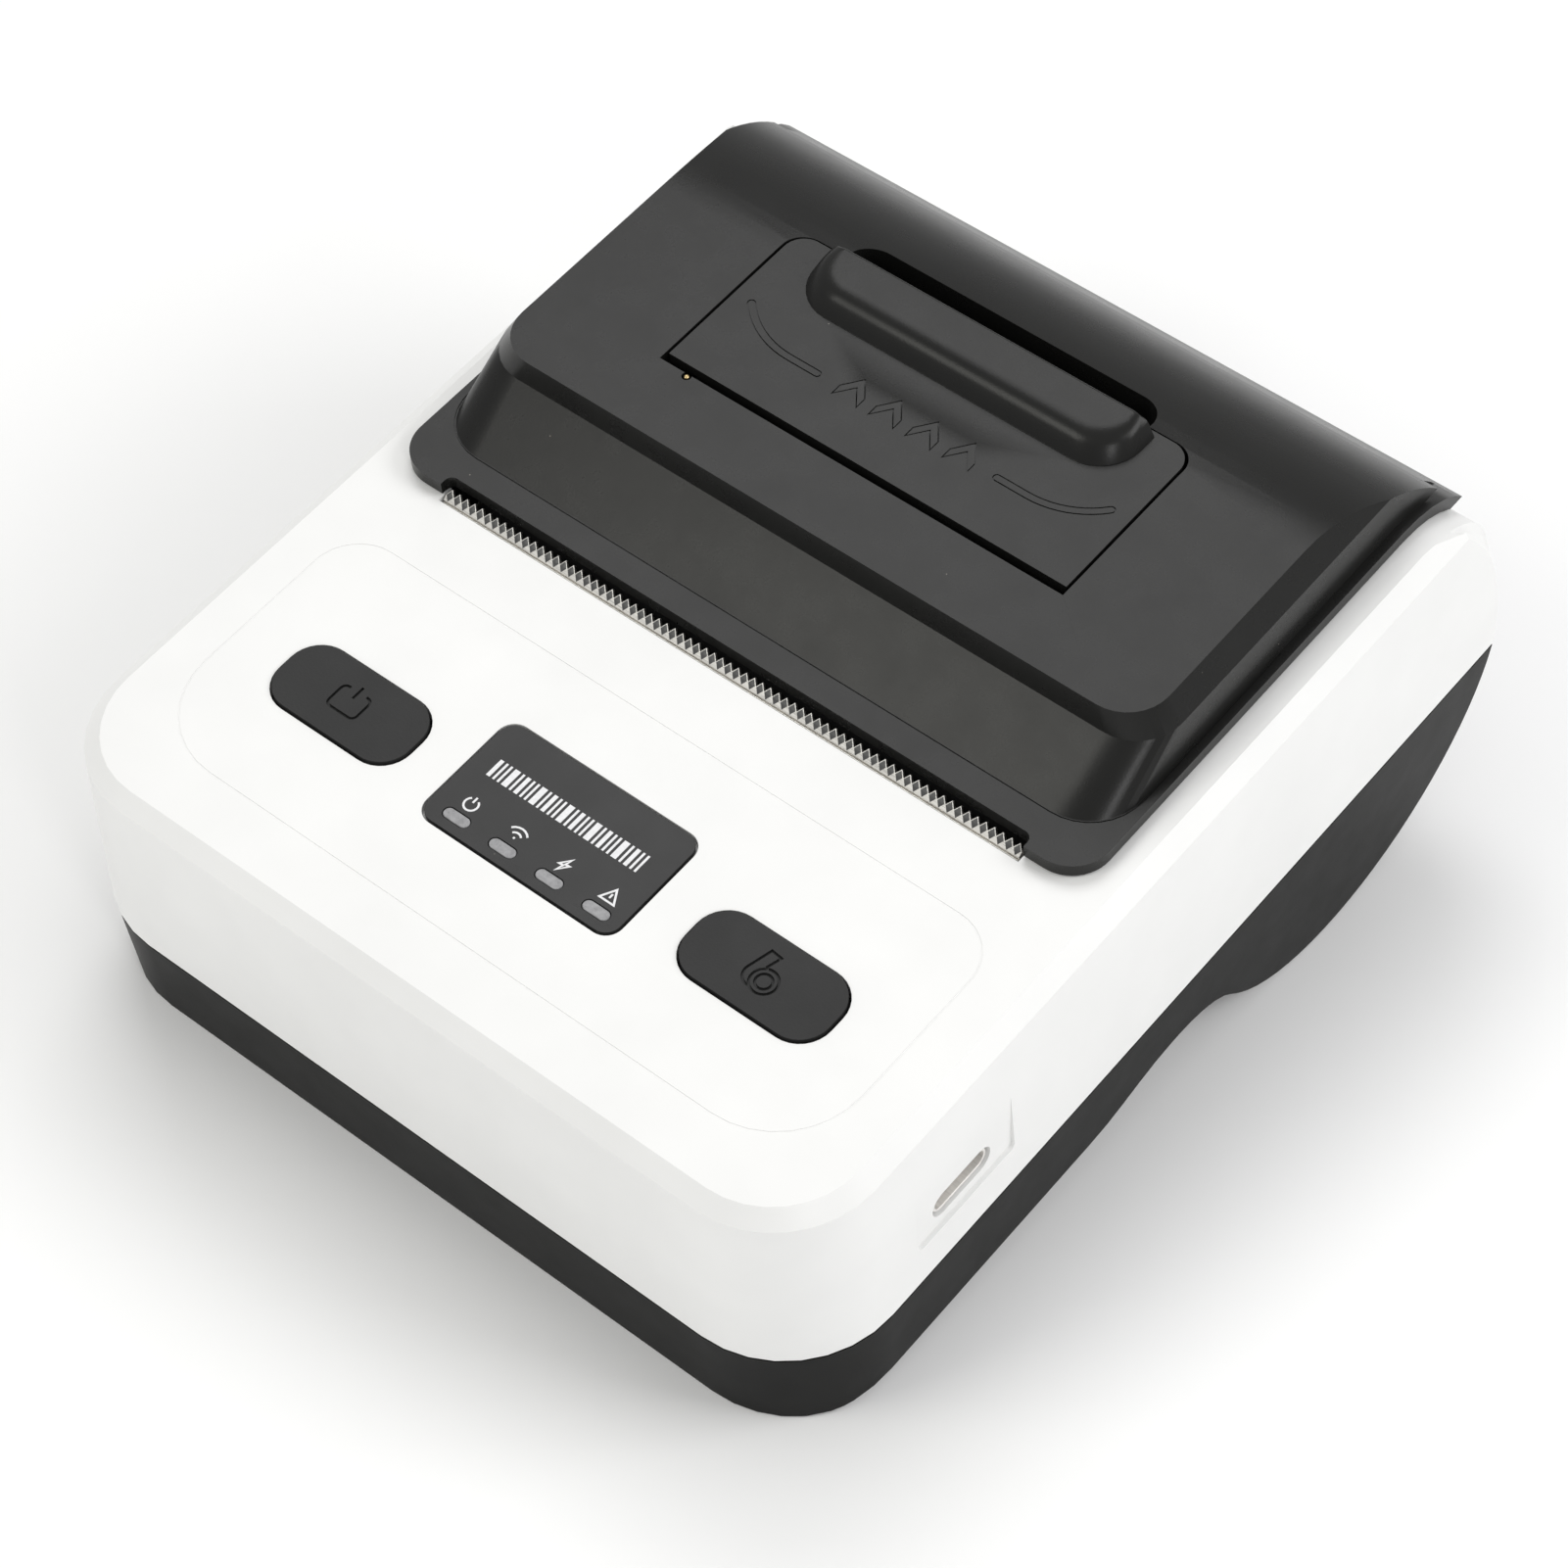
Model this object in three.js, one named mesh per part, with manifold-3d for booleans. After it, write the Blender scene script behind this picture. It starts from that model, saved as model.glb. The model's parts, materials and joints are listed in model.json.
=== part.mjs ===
// Portable thermal label printer for 80 mm paper: white upper shell, black lower shell with a round roll
// bay, and a black clamshell cover that carries the platen roller and a pull-up latch.
//
// Body frame, in millimetres: x = 0 on the centre plane, y = 0 at the foot of the front wall and growing to
// the rear, z = 0 on the parting plane of the two shells. The finished group is tilted nose-down onto its
// two feet.

import * as THREE from "three";
import { mergeVertices } from "three/addons/utils/BufferGeometryUtils.js";
import Module from "manifold-3d";

// ---------------------------------------------------------------- driving dimensions

const GAP = 0.3; // running gap between neighbouring pieces

const BODY = { halfWidth: 55, frontCornerR: 14.3, wall: 2.2, draft: 0.052 };
const DECK = { wallTop: 24.3, z: 26, chamfer: 2, thickness: 2.2 };
const BAY = { y: 98.6, z: 4.2, shellR: 30 }; // axis of the paper roll, and the round rear of the body
const SHOULDER = { y: 114, z: 11.5, r: 14.5 }; // round rear end of the deck, inside the side chamfers
const FLOOR = { z: -13.5, dipZ: -11.2, draft: 0.045, wall: 2 };
const FOOT = { y: 1.5, z: -13.2, bulgeCut: 0.3 }; // resting plane: front foot, and the flat cut on the bulge

const OPENING = { halfWidth: 46.4, frontY: 56.2, rearWallTop: 9.2 }; // mouth of the paper well
const WELL_RIB = { thickness: 1.4, frontY: 72.6, rearY: 127, bottomZ: 2 };

const COVER = { arcY: 99.3, arcZ: 4.2, arcR: 32.3, topZ: 36.5, skin: 2 };
const LIP = {
  halfWidth: 49,
  frontY: 54.8,
  notchY: 56.5,
  notchHalf: 41.4,
  notchR: 1,
  bottomZ: 26.3,
  topZ: 28,
  cornerR: 5,
  tailZ: 22.7,
};
const HINGE = { y: 127.2, z: 13.2, barrelR: 3, barrelHalf: 42.9, lugR: 2.9, lugOuter: 46.6 };
const HINGE_PIN = { r: 1, from: 39.5, to: 46.1 };

const FLAP = { halfWidth: 28, frontY: 79.95, rearY: 103.3, bottomZ: 34.4, topZ: 36.5, cornerR: 2.8 };
const FLAP_HOLE = { halfWidth: 28.4, frontY: 78.8, rearY: 103.7, cornerR: 3.1 };
const GRIP = { rearY: 102.6, topZ: 39.3 };
const POCKET = { halfWidth: 21.5, frontY: 101, rearY: 107.5, floorZ: 30.3, wall: 1.3 };
const LATCH = { y: 80.6, z: 32.4, barrelR: 1.9, barrelHalf: 22, shaftR: 0.8, shaftHalf: 43.4 };
const LATCH_LUG = { from: 22.6, to: 24.6 };
const HOOK = { from: 41.6, to: 42.8 };
const KEEPER = { inner: 41.3, frontY: 73, rearY: 76, bottomZ: 20.3, topZ: 22, flange: 1, flangeBottomZ: 16 };

const PLATEN = { y: 63, z: 18, r: 5, half: 40.2, shaftR: 2.3, shaftHalf: 45.4 };
const ARM = { from: 41, to: 42.8, footFrom: 38.6, bottomR: 5.6, boreR: 4.3 }; // brackets of the platen
const PAPER_ROLL = { r: 24, half: 39.8, coreR: 8.2, coreBore: 6.2 };
const BIN = { innerR: 26, outerR: 27.2, halfWidth: 42.1, side: 1.1, frontZ: 12, rearZ: 6 };

const GEAR_MODULE = 0.5;
const PLATEN_GEAR = { teeth: 26, x0: -45.2, x1: -43.4 };
const REDUCTION = { smallTeeth: 14, bigTeeth: 38, bigX0: -47.5, bigX1: -45.7, y: 53.9, z: 11.9 };
const MOTOR = { y: 41.55, z: 11.9, r: 8.75, x0: -41.6, x1: -27.5, pinionTeeth: 10, pinionX1: -43.3 };

const FRAME = { wallY: 50.9, thickness: 0.8, bottomZ: -9, topZ: 22, earX: 42.9, earRearY: 56.3 };
const MOTOR_EAR_Y = 33.8; // front end of the left ear, which carries the motor

const KEYS_X = -0.15; // the pair of keys sits a little left of the centre plane
const BUTTON = { x: 29.3, y: 26.45, halfX: 9.55, halfY: 4.75, cornerR: 3.8, topZ: 26.35, travel: 0.6 };
const PANEL = { x: -0.3, y: 27.85, halfX: 13.6, halfY: 7.7, cornerR: 1.9, bottomZ: 25.3, topZ: 26.15 };
const LIGHT = { count: 4, pitch: 6.6, y: 22.1, halfX: 1.75, halfY: 0.7, bottomZ: 21.6 };
const KEY_BOARD = { halfX: 45, frontY: 16, rearY: 33.4, z0: 18.6, z1: 19.8 };
const MAIN_BOARD = { x0: -40, x1: 49, frontY: 8, rearY: 46, z0: 6.4, z1: 8 };
const BOARD_CORNER = { x: 41.4, y: 13.6 }; // notch of the main board round the front right screw boss
const BOARD_NOTCH = { x: -25, y: 31 }; // notch of the main board round the motor
const USB = { y: 27.3, z: 9.05, shellHalfY: 4.5, shellHalfZ: 1.5, x0: 46.5, x1: 53.9 };
const USB_SLOT = { halfY: 4.9, halfZ: 1.9 };
const BATTERY = { halfX: 30, y0: 7, y1: 43.4, z0: -11, z1: 2.8 };
const BATTERY_DOOR = { halfX: 34, y0: 5.5, y1: 48, thickness: 2 };
const CASE_SCREWS = [
  { side: 1, name: "front_right", x: 44.5, y: 10.5 },
  { side: -1, name: "front_left", x: -44.5, y: 10.5 },
  { side: 1, name: "rear_right", x: 49, y: 69.5 },
  { side: -1, name: "rear_left", x: -49, y: 69.5 },
];
const SCREW = { headR: 2.2, headH: 1.6, shankR: 1.1, length: 10 };

const TEAR_BAR = {
  half: 41,
  teeth: 72,
  toothHeight: 0.8,
  frontY: 54.3,
  bottomZ: 22.9,
  bendZ: 25.45,
  height: 1.6,
  thickness: 0.5,
  lean: Math.PI / 4, // above the bend the blade leans back over the paper slot
};

// ---------------------------------------------------------------- solids from three.js geometry

const wasm = await Module();
wasm.setup();

const MERGE_DISTANCE = 1e-4;

function toSolid(geometry) {
  geometry.deleteAttribute("normal");
  geometry.deleteAttribute("uv");
  const merged = mergeVertices(geometry, MERGE_DISTANCE);
  const vertProperties = new Float32Array(merged.attributes.position.array);
  const triVerts = new Uint32Array(merged.index.array);
  return new wasm.Manifold(new wasm.Mesh({ numProp: 3, vertProperties, triVerts }));
}

function toGeometry(solid) {
  const mesh = solid.getMesh();
  const geometry = new THREE.BufferGeometry();
  geometry.setAttribute("position", new THREE.BufferAttribute(new Float32Array(mesh.vertProperties), 3));
  geometry.setIndex(new THREE.BufferAttribute(new Uint32Array(mesh.triVerts), 1));
  geometry.computeVertexNormals();
  return geometry;
}

const union = (...solids) => solids.reduce((whole, solid) => whole.add(solid));

function box(x0, x1, y0, y1, z0, z1) {
  const geometry = new THREE.BoxGeometry(x1 - x0, y1 - y0, z1 - z0);
  return toSolid(geometry.translate((x0 + x1) / 2, (y0 + y1) / 2, (z0 + z1) / 2));
}

function cylinderX(radius, x0, x1, y, z, sides = 20) {
  const geometry = new THREE.CylinderGeometry(radius, radius, x1 - x0, sides).rotateZ(Math.PI / 2);
  return toSolid(geometry.translate((x0 + x1) / 2, y, z));
}

function cylinderZ(radius, x, y, z0, z1, sides = 16) {
  const geometry = new THREE.CylinderGeometry(radius, radius, z1 - z0, sides).rotateX(Math.PI / 2);
  return toSolid(geometry.translate(x, y, (z0 + z1) / 2));
}

// An outline in the plane of y and z, drawn out along x.
const YZ_ALONG_X = new THREE.Matrix4().makeBasis(
  new THREE.Vector3(0, 1, 0),
  new THREE.Vector3(0, 0, 1),
  new THREE.Vector3(1, 0, 0),
);

function prismX(shape, x0, x1, curveSegments = 10) {
  const geometry = new THREE.ExtrudeGeometry(shape, { depth: x1 - x0, bevelEnabled: false, curveSegments });
  return toSolid(geometry.applyMatrix4(YZ_ALONG_X).translate(x0, 0, 0));
}

function prismZ(shape, z0, z1, curveSegments = 6) {
  const geometry = new THREE.ExtrudeGeometry(shape, { depth: z1 - z0, bevelEnabled: false, curveSegments });
  return toSolid(geometry.translate(0, 0, z0));
}

const polygon = (points) => new THREE.Shape(points.map(([u, v]) => new THREE.Vector2(u, v)));

const SQUARE_CORNER = 0.01; // radius of a corner that is left square

// Rectangle with its own corner radius at the low-v and the high-v side.
function roundedRect(u0, u1, v0, v1, lowR, highR = lowR) {
  const quarter = Math.PI / 2;
  const shape = new THREE.Shape();
  shape.absarc(u1 - lowR, v0 + lowR, lowR, -quarter, 0);
  shape.absarc(u1 - highR, v1 - highR, highR, 0, quarter);
  shape.absarc(u0 + highR, v1 - highR, highR, quarter, 2 * quarter);
  shape.absarc(u0 + lowR, v0 + lowR, lowR, 2 * quarter, 3 * quarter);
  return shape;
}

// A pair of mirrored solids, left and right of the centre plane.
const bothSides = (make) => union(make(1), make(-1));
const spanX = (side, from, to) => (side > 0 ? [from, to] : [-to, -from]);

// Points on an arc, as [u, v] pairs.
function arc(u, v, r, from, to, count) {
  return Array.from({ length: count + 1 }, (_, i) => {
    const angle = from + ((to - from) * i) / count;
    return [u + r * Math.cos(angle), v + r * Math.sin(angle)];
  });
}

// A closed solid through rings of equal length, which turn counter-clockwise seen from the last ring.
function loft(rings) {
  const size = rings[0].length;
  const positions = rings.flat().flat();
  const triangles = [];
  for (let k = 0; k + 1 < rings.length; k++) {
    for (let i = 0; i < size; i++) {
      const next = (i + 1) % size;
      const [a, b, c, d] = [k * size + i, k * size + next, (k + 1) * size + next, (k + 1) * size + i];
      triangles.push(a, b, c, a, c, d);
    }
  }
  const last = (rings.length - 1) * size;
  for (let i = 1; i + 1 < size; i++) {
    triangles.push(0, i + 1, i, last, last + i, last + i + 1);
  }
  const geometry = new THREE.BufferGeometry();
  geometry.setAttribute("position", new THREE.Float32BufferAttribute(positions, 3));
  geometry.setIndex(triangles);
  return toSolid(geometry);
}

const CORNER_STEPS = 8;
const REAR_PAST_BODY = 140; // plan outlines run past the rear, where a side profile ends the solid

// Plan outline at height z, with round front corners.
function planRing(halfX, frontY, cornerR, z, rearY = REAR_PAST_BODY) {
  const quarter = Math.PI / 2;
  const right = arc(halfX - cornerR, frontY + cornerR, cornerR, -quarter, 0, CORNER_STEPS);
  const left = arc(cornerR - halfX, frontY + cornerR, cornerR, 2 * quarter, 3 * quarter, CORNER_STEPS);
  return [...right, [halfX, rearY], [-halfX, rearY], ...left].map(([x, y]) => [x, y, z]);
}

const sideRing = (x, profile) => profile.map(([y, z]) => [x, y, z]);

// Side profiles at growing x, mirrored so that the solid is the same on both sides.
function mirroredSideLoft(sections) {
  const outward = [...sections].sort((a, b) => a.x - b.x);
  const rings = [...outward].reverse().map(({ x, profile }) => sideRing(-x, profile));
  return loft([...rings, ...outward.map(({ x, profile }) => sideRing(x, profile))]);
}

// ---------------------------------------------------------------- shells

const SIDE_PAST_BODY = 56; // side sections run past the walls
const EDGE_SECTIONS = [
  { x: 52.8, inset: 0 },
  { x: 54, inset: 0.8 },
  { x: SIDE_PAST_BODY, inset: 2.6 },
];
const SHOULDER_BLEND = 1.4; // width over which the flat deck's shoulder turns into the round rear wall
const ARC_STEPS = 14;
const FRONT_OF_BODY = -2;
const ABOVE_DECK = 27.5;

// Side profile of the upper shell where the round rear wall runs up to the deck.
function roundRearProfile(inset) {
  const r = BAY.shellR - inset;
  const low = Math.asin(-BAY.z / r);
  const high = Math.asin((DECK.z - BAY.z) / BAY.shellR);
  const rear = arc(BAY.y, BAY.z, r, low, high, ARC_STEPS);
  return [[FRONT_OF_BODY, 0], ...rear, [rear[ARC_STEPS][0] - 1, ABOVE_DECK], [FRONT_OF_BODY, ABOVE_DECK]];
}

// Side profile of the upper shell under the flat deck, with its tighter rear shoulder.
function shoulderProfile(inset) {
  const rear = arc(SHOULDER.y, SHOULDER.z, SHOULDER.r - inset, 0, Math.PI / 2, ARC_STEPS - 1);
  const foot = [SHOULDER.y + SHOULDER.r - inset, 0];
  return [[FRONT_OF_BODY, 0], foot, ...rear, [SHOULDER.y - 1, ABOVE_DECK], [FRONT_OF_BODY, ABOVE_DECK]];
}

function upperShellOuter() {
  const lean = BODY.draft * DECK.wallTop;
  const ring = (inset, z) => planRing(BODY.halfWidth - inset, inset, BODY.frontCornerR - inset, z);
  const plan = loft([ring(0, 0), ring(lean, DECK.wallTop), ring(lean + DECK.chamfer, DECK.z)]);
  const deckHalf = BODY.halfWidth - lean - DECK.chamfer;
  const rounded = EDGE_SECTIONS.map(({ x, inset }) => ({
    x: Math.max(x, deckHalf + SHOULDER_BLEND + inset),
    profile: roundRearProfile(inset),
  }));
  return plan.intersect(mirroredSideLoft([{ x: deckHalf, profile: shoulderProfile(0) }, ...rounded]));
}

function upperShellCavity() {
  const { wall, draft, halfWidth, frontCornerR } = BODY;
  const top = DECK.z - DECK.thickness;
  const ring = (z) => planRing(halfWidth - wall - draft * z, wall + draft * z, frontCornerR - wall, z);
  const plan = loft([ring(-1), ring(top)]);
  const rear = arc(BAY.y, BAY.z, BAY.shellR - wall, -0.3, 0.8, ARC_STEPS);
  return plan.intersect(prismX(polygon([[0, -2], ...rear, [0, top + 1]]), -SIDE_PAST_BODY, SIDE_PAST_BODY));
}

const BOSS = { r: 2.6, upperTop: 10, lowerTop: -0.4 };
const WEB_OUTER_X = 53; // inside the side wall, which the web of each boss runs into
const BOARD_POST_R = 1.8;

function upperShellFittings() {
  const ribOuter = OPENING.halfWidth + WELL_RIB.thickness;
  const ribs = bothSides((side) => {
    const [x0, x1] = spanX(side, OPENING.halfWidth, ribOuter);
    return box(x0, x1, WELL_RIB.frontY, WELL_RIB.rearY, WELL_RIB.bottomZ, DECK.z - 1);
  });
  const bosses = CASE_SCREWS.map(({ x, y }) => {
    const top = y < OPENING.frontY ? KEY_BOARD.z0 : BOSS.upperTop;
    const bore = cylinderZ(SCREW.shankR + GAP, x, y, -1, SCREW.length - 1);
    const web = box(...spanX(Math.sign(x), Math.abs(x), WEB_OUTER_X), y - 1, y + 1, 0, top);
    return web.add(cylinderZ(BOSS.r, x, y, 0, top)).subtract(bore);
  });
  const postY = KEY_BOARD.rearY - 3;
  const posts = [-1, 1].map((side) =>
    cylinderZ(BOARD_POST_R, side * (KEY_BOARD.halfX - 3), postY, KEY_BOARD.z1 + GAP, DECK.z - 1),
  );
  return union(ribs, ...posts, ...bosses);
}

function hingeLugs() {
  return bothSides((side) => {
    const [x0, x1] = spanX(side, HINGE.barrelHalf + GAP + 0.1, HINGE.lugOuter);
    const leg = box(x0, x1, HINGE.y - HINGE.lugR, HINGE.y + 1, 2, HINGE.z);
    return cylinderX(HINGE.lugR, x0, x1, HINGE.y, HINGE.z).add(leg);
  });
}

const pill = (halfU, halfV, u = 0, v = 0) =>
  roundedRect(u - halfU, u + halfU, v - halfV, v + halfV, halfV * 0.999);
const lightX = (index) => (index - (LIGHT.count - 1) / 2) * LIGHT.pitch;

function deckHoles() {
  const above = DECK.z + 3;
  const below = DECK.z - DECK.thickness - 1;
  const keys = bothSides((side) => prismZ(buttonOutline(side, GAP), below, above, 4));
  const lights = Array.from({ length: LIGHT.count }, (_, i) =>
    prismZ(pill(LIGHT.halfX + GAP, LIGHT.halfY + GAP, lightX(i), LIGHT.y), below, above, 4),
  );
  return union(keys, prismZ(panelOutline(GAP), PANEL.bottomZ - GAP, above, 4), ...lights);
}

// The recess round the charging port is upright in the leaning wall, so it runs out towards its top.
function usbCuts() {
  const { halfY, halfZ } = USB_SLOT;
  const slot = roundedRect(USB.y - halfY, USB.y + halfY, USB.z - halfZ, USB.z + halfZ, halfZ * 0.98);
  const recess = roundedRect(19.4, 35.8, 5.6, 15.5, 0.8);
  return prismX(slot, 48, 60, 5).add(prismX(recess, 54.2, 60, 3));
}

function upperShell() {
  const mouth = box(
    -OPENING.halfWidth,
    OPENING.halfWidth,
    OPENING.frontY,
    REAR_PAST_BODY,
    OPENING.rearWallTop,
    ABOVE_DECK,
  );
  const barHalf = TEAR_BAR.half + GAP;
  const tearBarRoom = box(-barHalf, barHalf, TEAR_BAR.frontY - GAP, 60, 10, ABOVE_DECK);
  const outer = upperShellOuter();
  const shell = outer.subtract(upperShellCavity()).subtract(mouth).subtract(tearBarRoom);
  const fittings = upperShellFittings().intersect(outer);
  const pinBores = cylinderX(HINGE_PIN.r + GAP, -SIDE_PAST_BODY, SIDE_PAST_BODY, HINGE.y, HINGE.z, 14);
  const lugs = hingeLugs().subtract(pinBores);
  const pinSlots = bothSides((side) => {
    const [x0, x1] = spanX(side, OPENING.halfWidth, HINGE_PIN.to + GAP + 0.1);
    return cylinderX(HINGE_PIN.r + GAP, x0, x1, HINGE.y, HINGE.z, 14);
  });
  return shell.subtract(deckHoles()).subtract(usbCuts()).add(fittings).add(lugs).subtract(pinSlots);
}

// Side profile of the lower shell: flat floor, a shallow finger dip, and the round roll bay.
function lowerProfile(inset, frontY, topZ) {
  const r = BAY.shellR - inset;
  const floor = FLOOR.z + inset;
  const dip = FLOOR.dipZ + inset;
  const rise = Array.from({ length: 6 }, (_, i) => {
    const t = i / 5;
    return [50 + 14.5 * t, floor + (dip - floor) * (0.5 - 0.5 * Math.cos(Math.PI * t))];
  });
  const bulgeY = 76 + 0.6 * inset;
  const start = 2 * Math.PI - Math.acos((bulgeY - BAY.y) / r);
  const bulgeZ = BAY.z + r * Math.sin(start);
  const blend = new THREE.CubicBezierCurve(
    new THREE.Vector2(66, dip),
    new THREE.Vector2(70, dip),
    new THREE.Vector2(bulgeY - 2.6, bulgeZ + 2.6 / Math.abs(Math.tan(start + Math.PI / 2)) ** -1),
    new THREE.Vector2(bulgeY, bulgeZ),
  );
  const throat = blend.getPoints(5).slice(0, -1).map(({ x, y }) => [x, y]);
  const end = 2 * Math.PI + Math.asin((topZ - BAY.z) / r);
  return [[frontY, topZ], [frontY, floor], ...rise, ...throat, ...arc(BAY.y, BAY.z, r, start, end, 26)];
}

const REST_TILT = restTilt();

// Nose-down angle at which the front foot and the flat on the roll bay stand on one plane.
function restTilt() {
  const dy = BAY.y - FOOT.y;
  const dz = BAY.z - FOOT.z;
  return Math.asin((BAY.shellR - FOOT.bulgeCut) / Math.hypot(dy, dz)) - Math.atan2(dz, dy);
}

// Everything above the resting plane.
function aboveRestPlane() {
  const along = [Math.cos(REST_TILT), -Math.sin(REST_TILT)];
  const up = [Math.sin(REST_TILT), Math.cos(REST_TILT)];
  const at = (s, h) => [FOOT.y + along[0] * s + up[0] * h, FOOT.z + along[1] * s + up[1] * h];
  return prismX(polygon([at(-40, 0), at(180, 0), at(180, 90), at(-40, 90)]), -60, 60);
}

function lowerShellOuter() {
  const top = -GAP;
  const bottom = -28;
  const ring = (z) => {
    const inset = -FLOOR.draft * z;
    return planRing(BODY.halfWidth - inset, inset, BODY.frontCornerR - inset, z);
  };
  const sections = EDGE_SECTIONS.map(({ x, inset }) => {
    return { x, profile: lowerProfile(inset, FRONT_OF_BODY, top) };
  });
  return loft([ring(bottom), ring(top)]).intersect(mirroredSideLoft(sections)).intersect(aboveRestPlane());
}

function lowerShellCavity() {
  const ring = (z) => {
    const inset = BODY.wall - FLOOR.draft * z;
    return planRing(BODY.halfWidth - inset, inset, BODY.frontCornerR - BODY.wall, z);
  };
  const profile = lowerProfile(FLOOR.wall, 0, 1);
  return loft([ring(-28), ring(1)]).intersect(prismX(polygon(profile), -SIDE_PAST_BODY, SIDE_PAST_BODY));
}

const screwSeatZ = (y) => (y < 50 ? FLOOR.z : FLOOR.dipZ);
const DOOR_SCREW = { x: 29, y: 46, headR: 1.9, shankR: 0.9, length: 5 };
const BOARD_POSTS = [
  [-36.5, 12],
  [-36.5, 27],
  [38, 12],
  [38, 42],
];

function lowerShell() {
  const outer = lowerShellOuter();
  const posts = BOARD_POSTS.map(([x, y]) =>
    cylinderZ(BOARD_POST_R, x, y, FLOOR.z + 1, MAIN_BOARD.z0 - GAP, 12),
  );
  const bosses = CASE_SCREWS.map(({ x, y }) => cylinderZ(BOSS.r, x, y, FLOOR.z, BOSS.lowerTop));
  const doorBosses = [-1, 1].map((side) =>
    box(side * DOOR_SCREW.x - 2, side * DOOR_SCREW.x + 2, 43.9, 48.9, FLOOR.z + 1, -7),
  );
  const railBridges = [-1, 1].map((side) => {
    const [x0, x1] = spanX(side, BATTERY.halfX + GAP, BATTERY_DOOR.halfX + 2);
    return box(x0, x1, BATTERY_DOOR.y0 - 2, 48.9, FLOOR.z + 1, -10);
  });
  const fittings = union(...posts, ...bosses, ...doorBosses, ...railBridges).intersect(outer);
  const bores = CASE_SCREWS.map(({ x, y }) => {
    const seat = screwSeatZ(y);
    const head = cylinderZ(SCREW.headR + GAP, x, y, -30, seat + SCREW.headH + GAP);
    return head.add(cylinderZ(SCREW.shankR + GAP, x, y, seat, 1));
  });
  const doorBores = [-1, 1].map((side) =>
    cylinderZ(DOOR_SCREW.shankR + GAP, side * DOOR_SCREW.x, DOOR_SCREW.y, FLOOR.z, FLOOR.z + 8, 12),
  );
  const { halfX, y0, y1 } = BATTERY_DOOR;
  const floorTop = FLOOR.z + FLOOR.wall + GAP;
  const doorHole = box(-halfX - GAP, halfX + GAP, y0 - GAP, y1 + GAP, FLOOR.z - 2, floorTop);
  const shell = outer.subtract(lowerShellCavity()).add(fittings);
  return shell.subtract(union(...bores, ...doorBores, doorHole));
}

function batteryDoor() {
  const { halfX, y0, y1, thickness } = BATTERY_DOOR;
  const plate = box(-halfX, halfX, y0, y1, FLOOR.z, FLOOR.z + thickness);
  const seats = [-1, 1].map((side) => {
    const x = side * DOOR_SCREW.x;
    const head = cylinderZ(DOOR_SCREW.headR + GAP, x, DOOR_SCREW.y, FLOOR.z - 1, FLOOR.z + 1.2);
    return head.add(cylinderZ(DOOR_SCREW.shankR + GAP, x, DOOR_SCREW.y, FLOOR.z, FLOOR.z + 4, 12));
  });
  return plate.subtract(union(...seats)).intersect(aboveRestPlane());
}

// ---------------------------------------------------------------- cover

// Region under the cover's outer surface, or its inner one when inset: flat on top, round over the roll.
function coverSideProfile(inset, frontY, bottomZ) {
  const r = COVER.arcR - inset;
  const low = Math.asin((bottomZ - COVER.arcZ) / r);
  const rear = arc(COVER.arcY, COVER.arcZ, r, low, Math.PI / 2, 16);
  return polygon([[frontY, bottomZ], ...rear, [frontY, COVER.topZ - inset]]);
}

// The rim that lies on the deck and follows its rear shoulder.
function coverFlange() {
  const { halfWidth, frontY, notchY, notchHalf, notchR, bottomZ, topZ, cornerR, tailZ } = LIP;
  const plan = roundedRect(-halfWidth, halfWidth, frontY, REAR_PAST_BODY, cornerR);
  const notch = prismZ(roundedRect(-notchHalf, notchHalf, 50, notchY, notchR), 0, 40, 3);
  const blank = prismZ(plan, SHOULDER.z, topZ + 1).subtract(notch);
  const inner = arc(SHOULDER.y, SHOULDER.z, bottomZ - SHOULDER.z, 0, Math.PI / 2, 9);
  const outer = arc(SHOULDER.y, SHOULDER.z, topZ - SHOULDER.z, Math.PI / 2, 0, 9);
  const band = prismX(polygon([...inner, [50, bottomZ], [50, topZ], ...outer]), -60, 60);
  return blank.intersect(band).intersect(box(-60, 60, 50, REAR_PAST_BODY, tailZ, 40));
}

function coverDome() {
  const rings = [
    planRing(47.95, 58.8, 7, 27),
    planRing(47.8, 60.2, 7, LIP.topZ),
    planRing(47.4, 68.6, 6, 33.4),
    planRing(45.5, 69.2, 5.5, COVER.topZ),
  ];
  return loft(rings).intersect(prismX(coverSideProfile(0, 50, 20), -60, 60));
}

const CURTAIN_HALF = OPENING.halfWidth - 0.4;

function coverCurtain() {
  const block = box(-CURTAIN_HALF, CURTAIN_HALF, 100, REAR_PAST_BODY, HINGE.z, LIP.topZ);
  return block.intersect(prismX(coverSideProfile(0, 50, 5), -60, 60));
}

function coverCavity() {
  const rings = [
    planRing(45.6, 61, 6, 25),
    planRing(45.6, 64, 6, LIP.topZ),
    planRing(45.4, 71.8, 5, 33),
    planRing(43.9, 72.4, 4.5, COVER.topZ - COVER.skin),
  ];
  const under = coverSideProfile(COVER.skin, 50, 5);
  const top = loft(rings).intersect(prismX(under, -60, 60));
  const innerHalf = CURTAIN_HALF - COVER.skin;
  const rear = box(-innerHalf, innerHalf, 95, REAR_PAST_BODY, 6, LIP.topZ + 1);
  return top.add(rear.intersect(prismX(under, -60, 60)));
}

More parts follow.
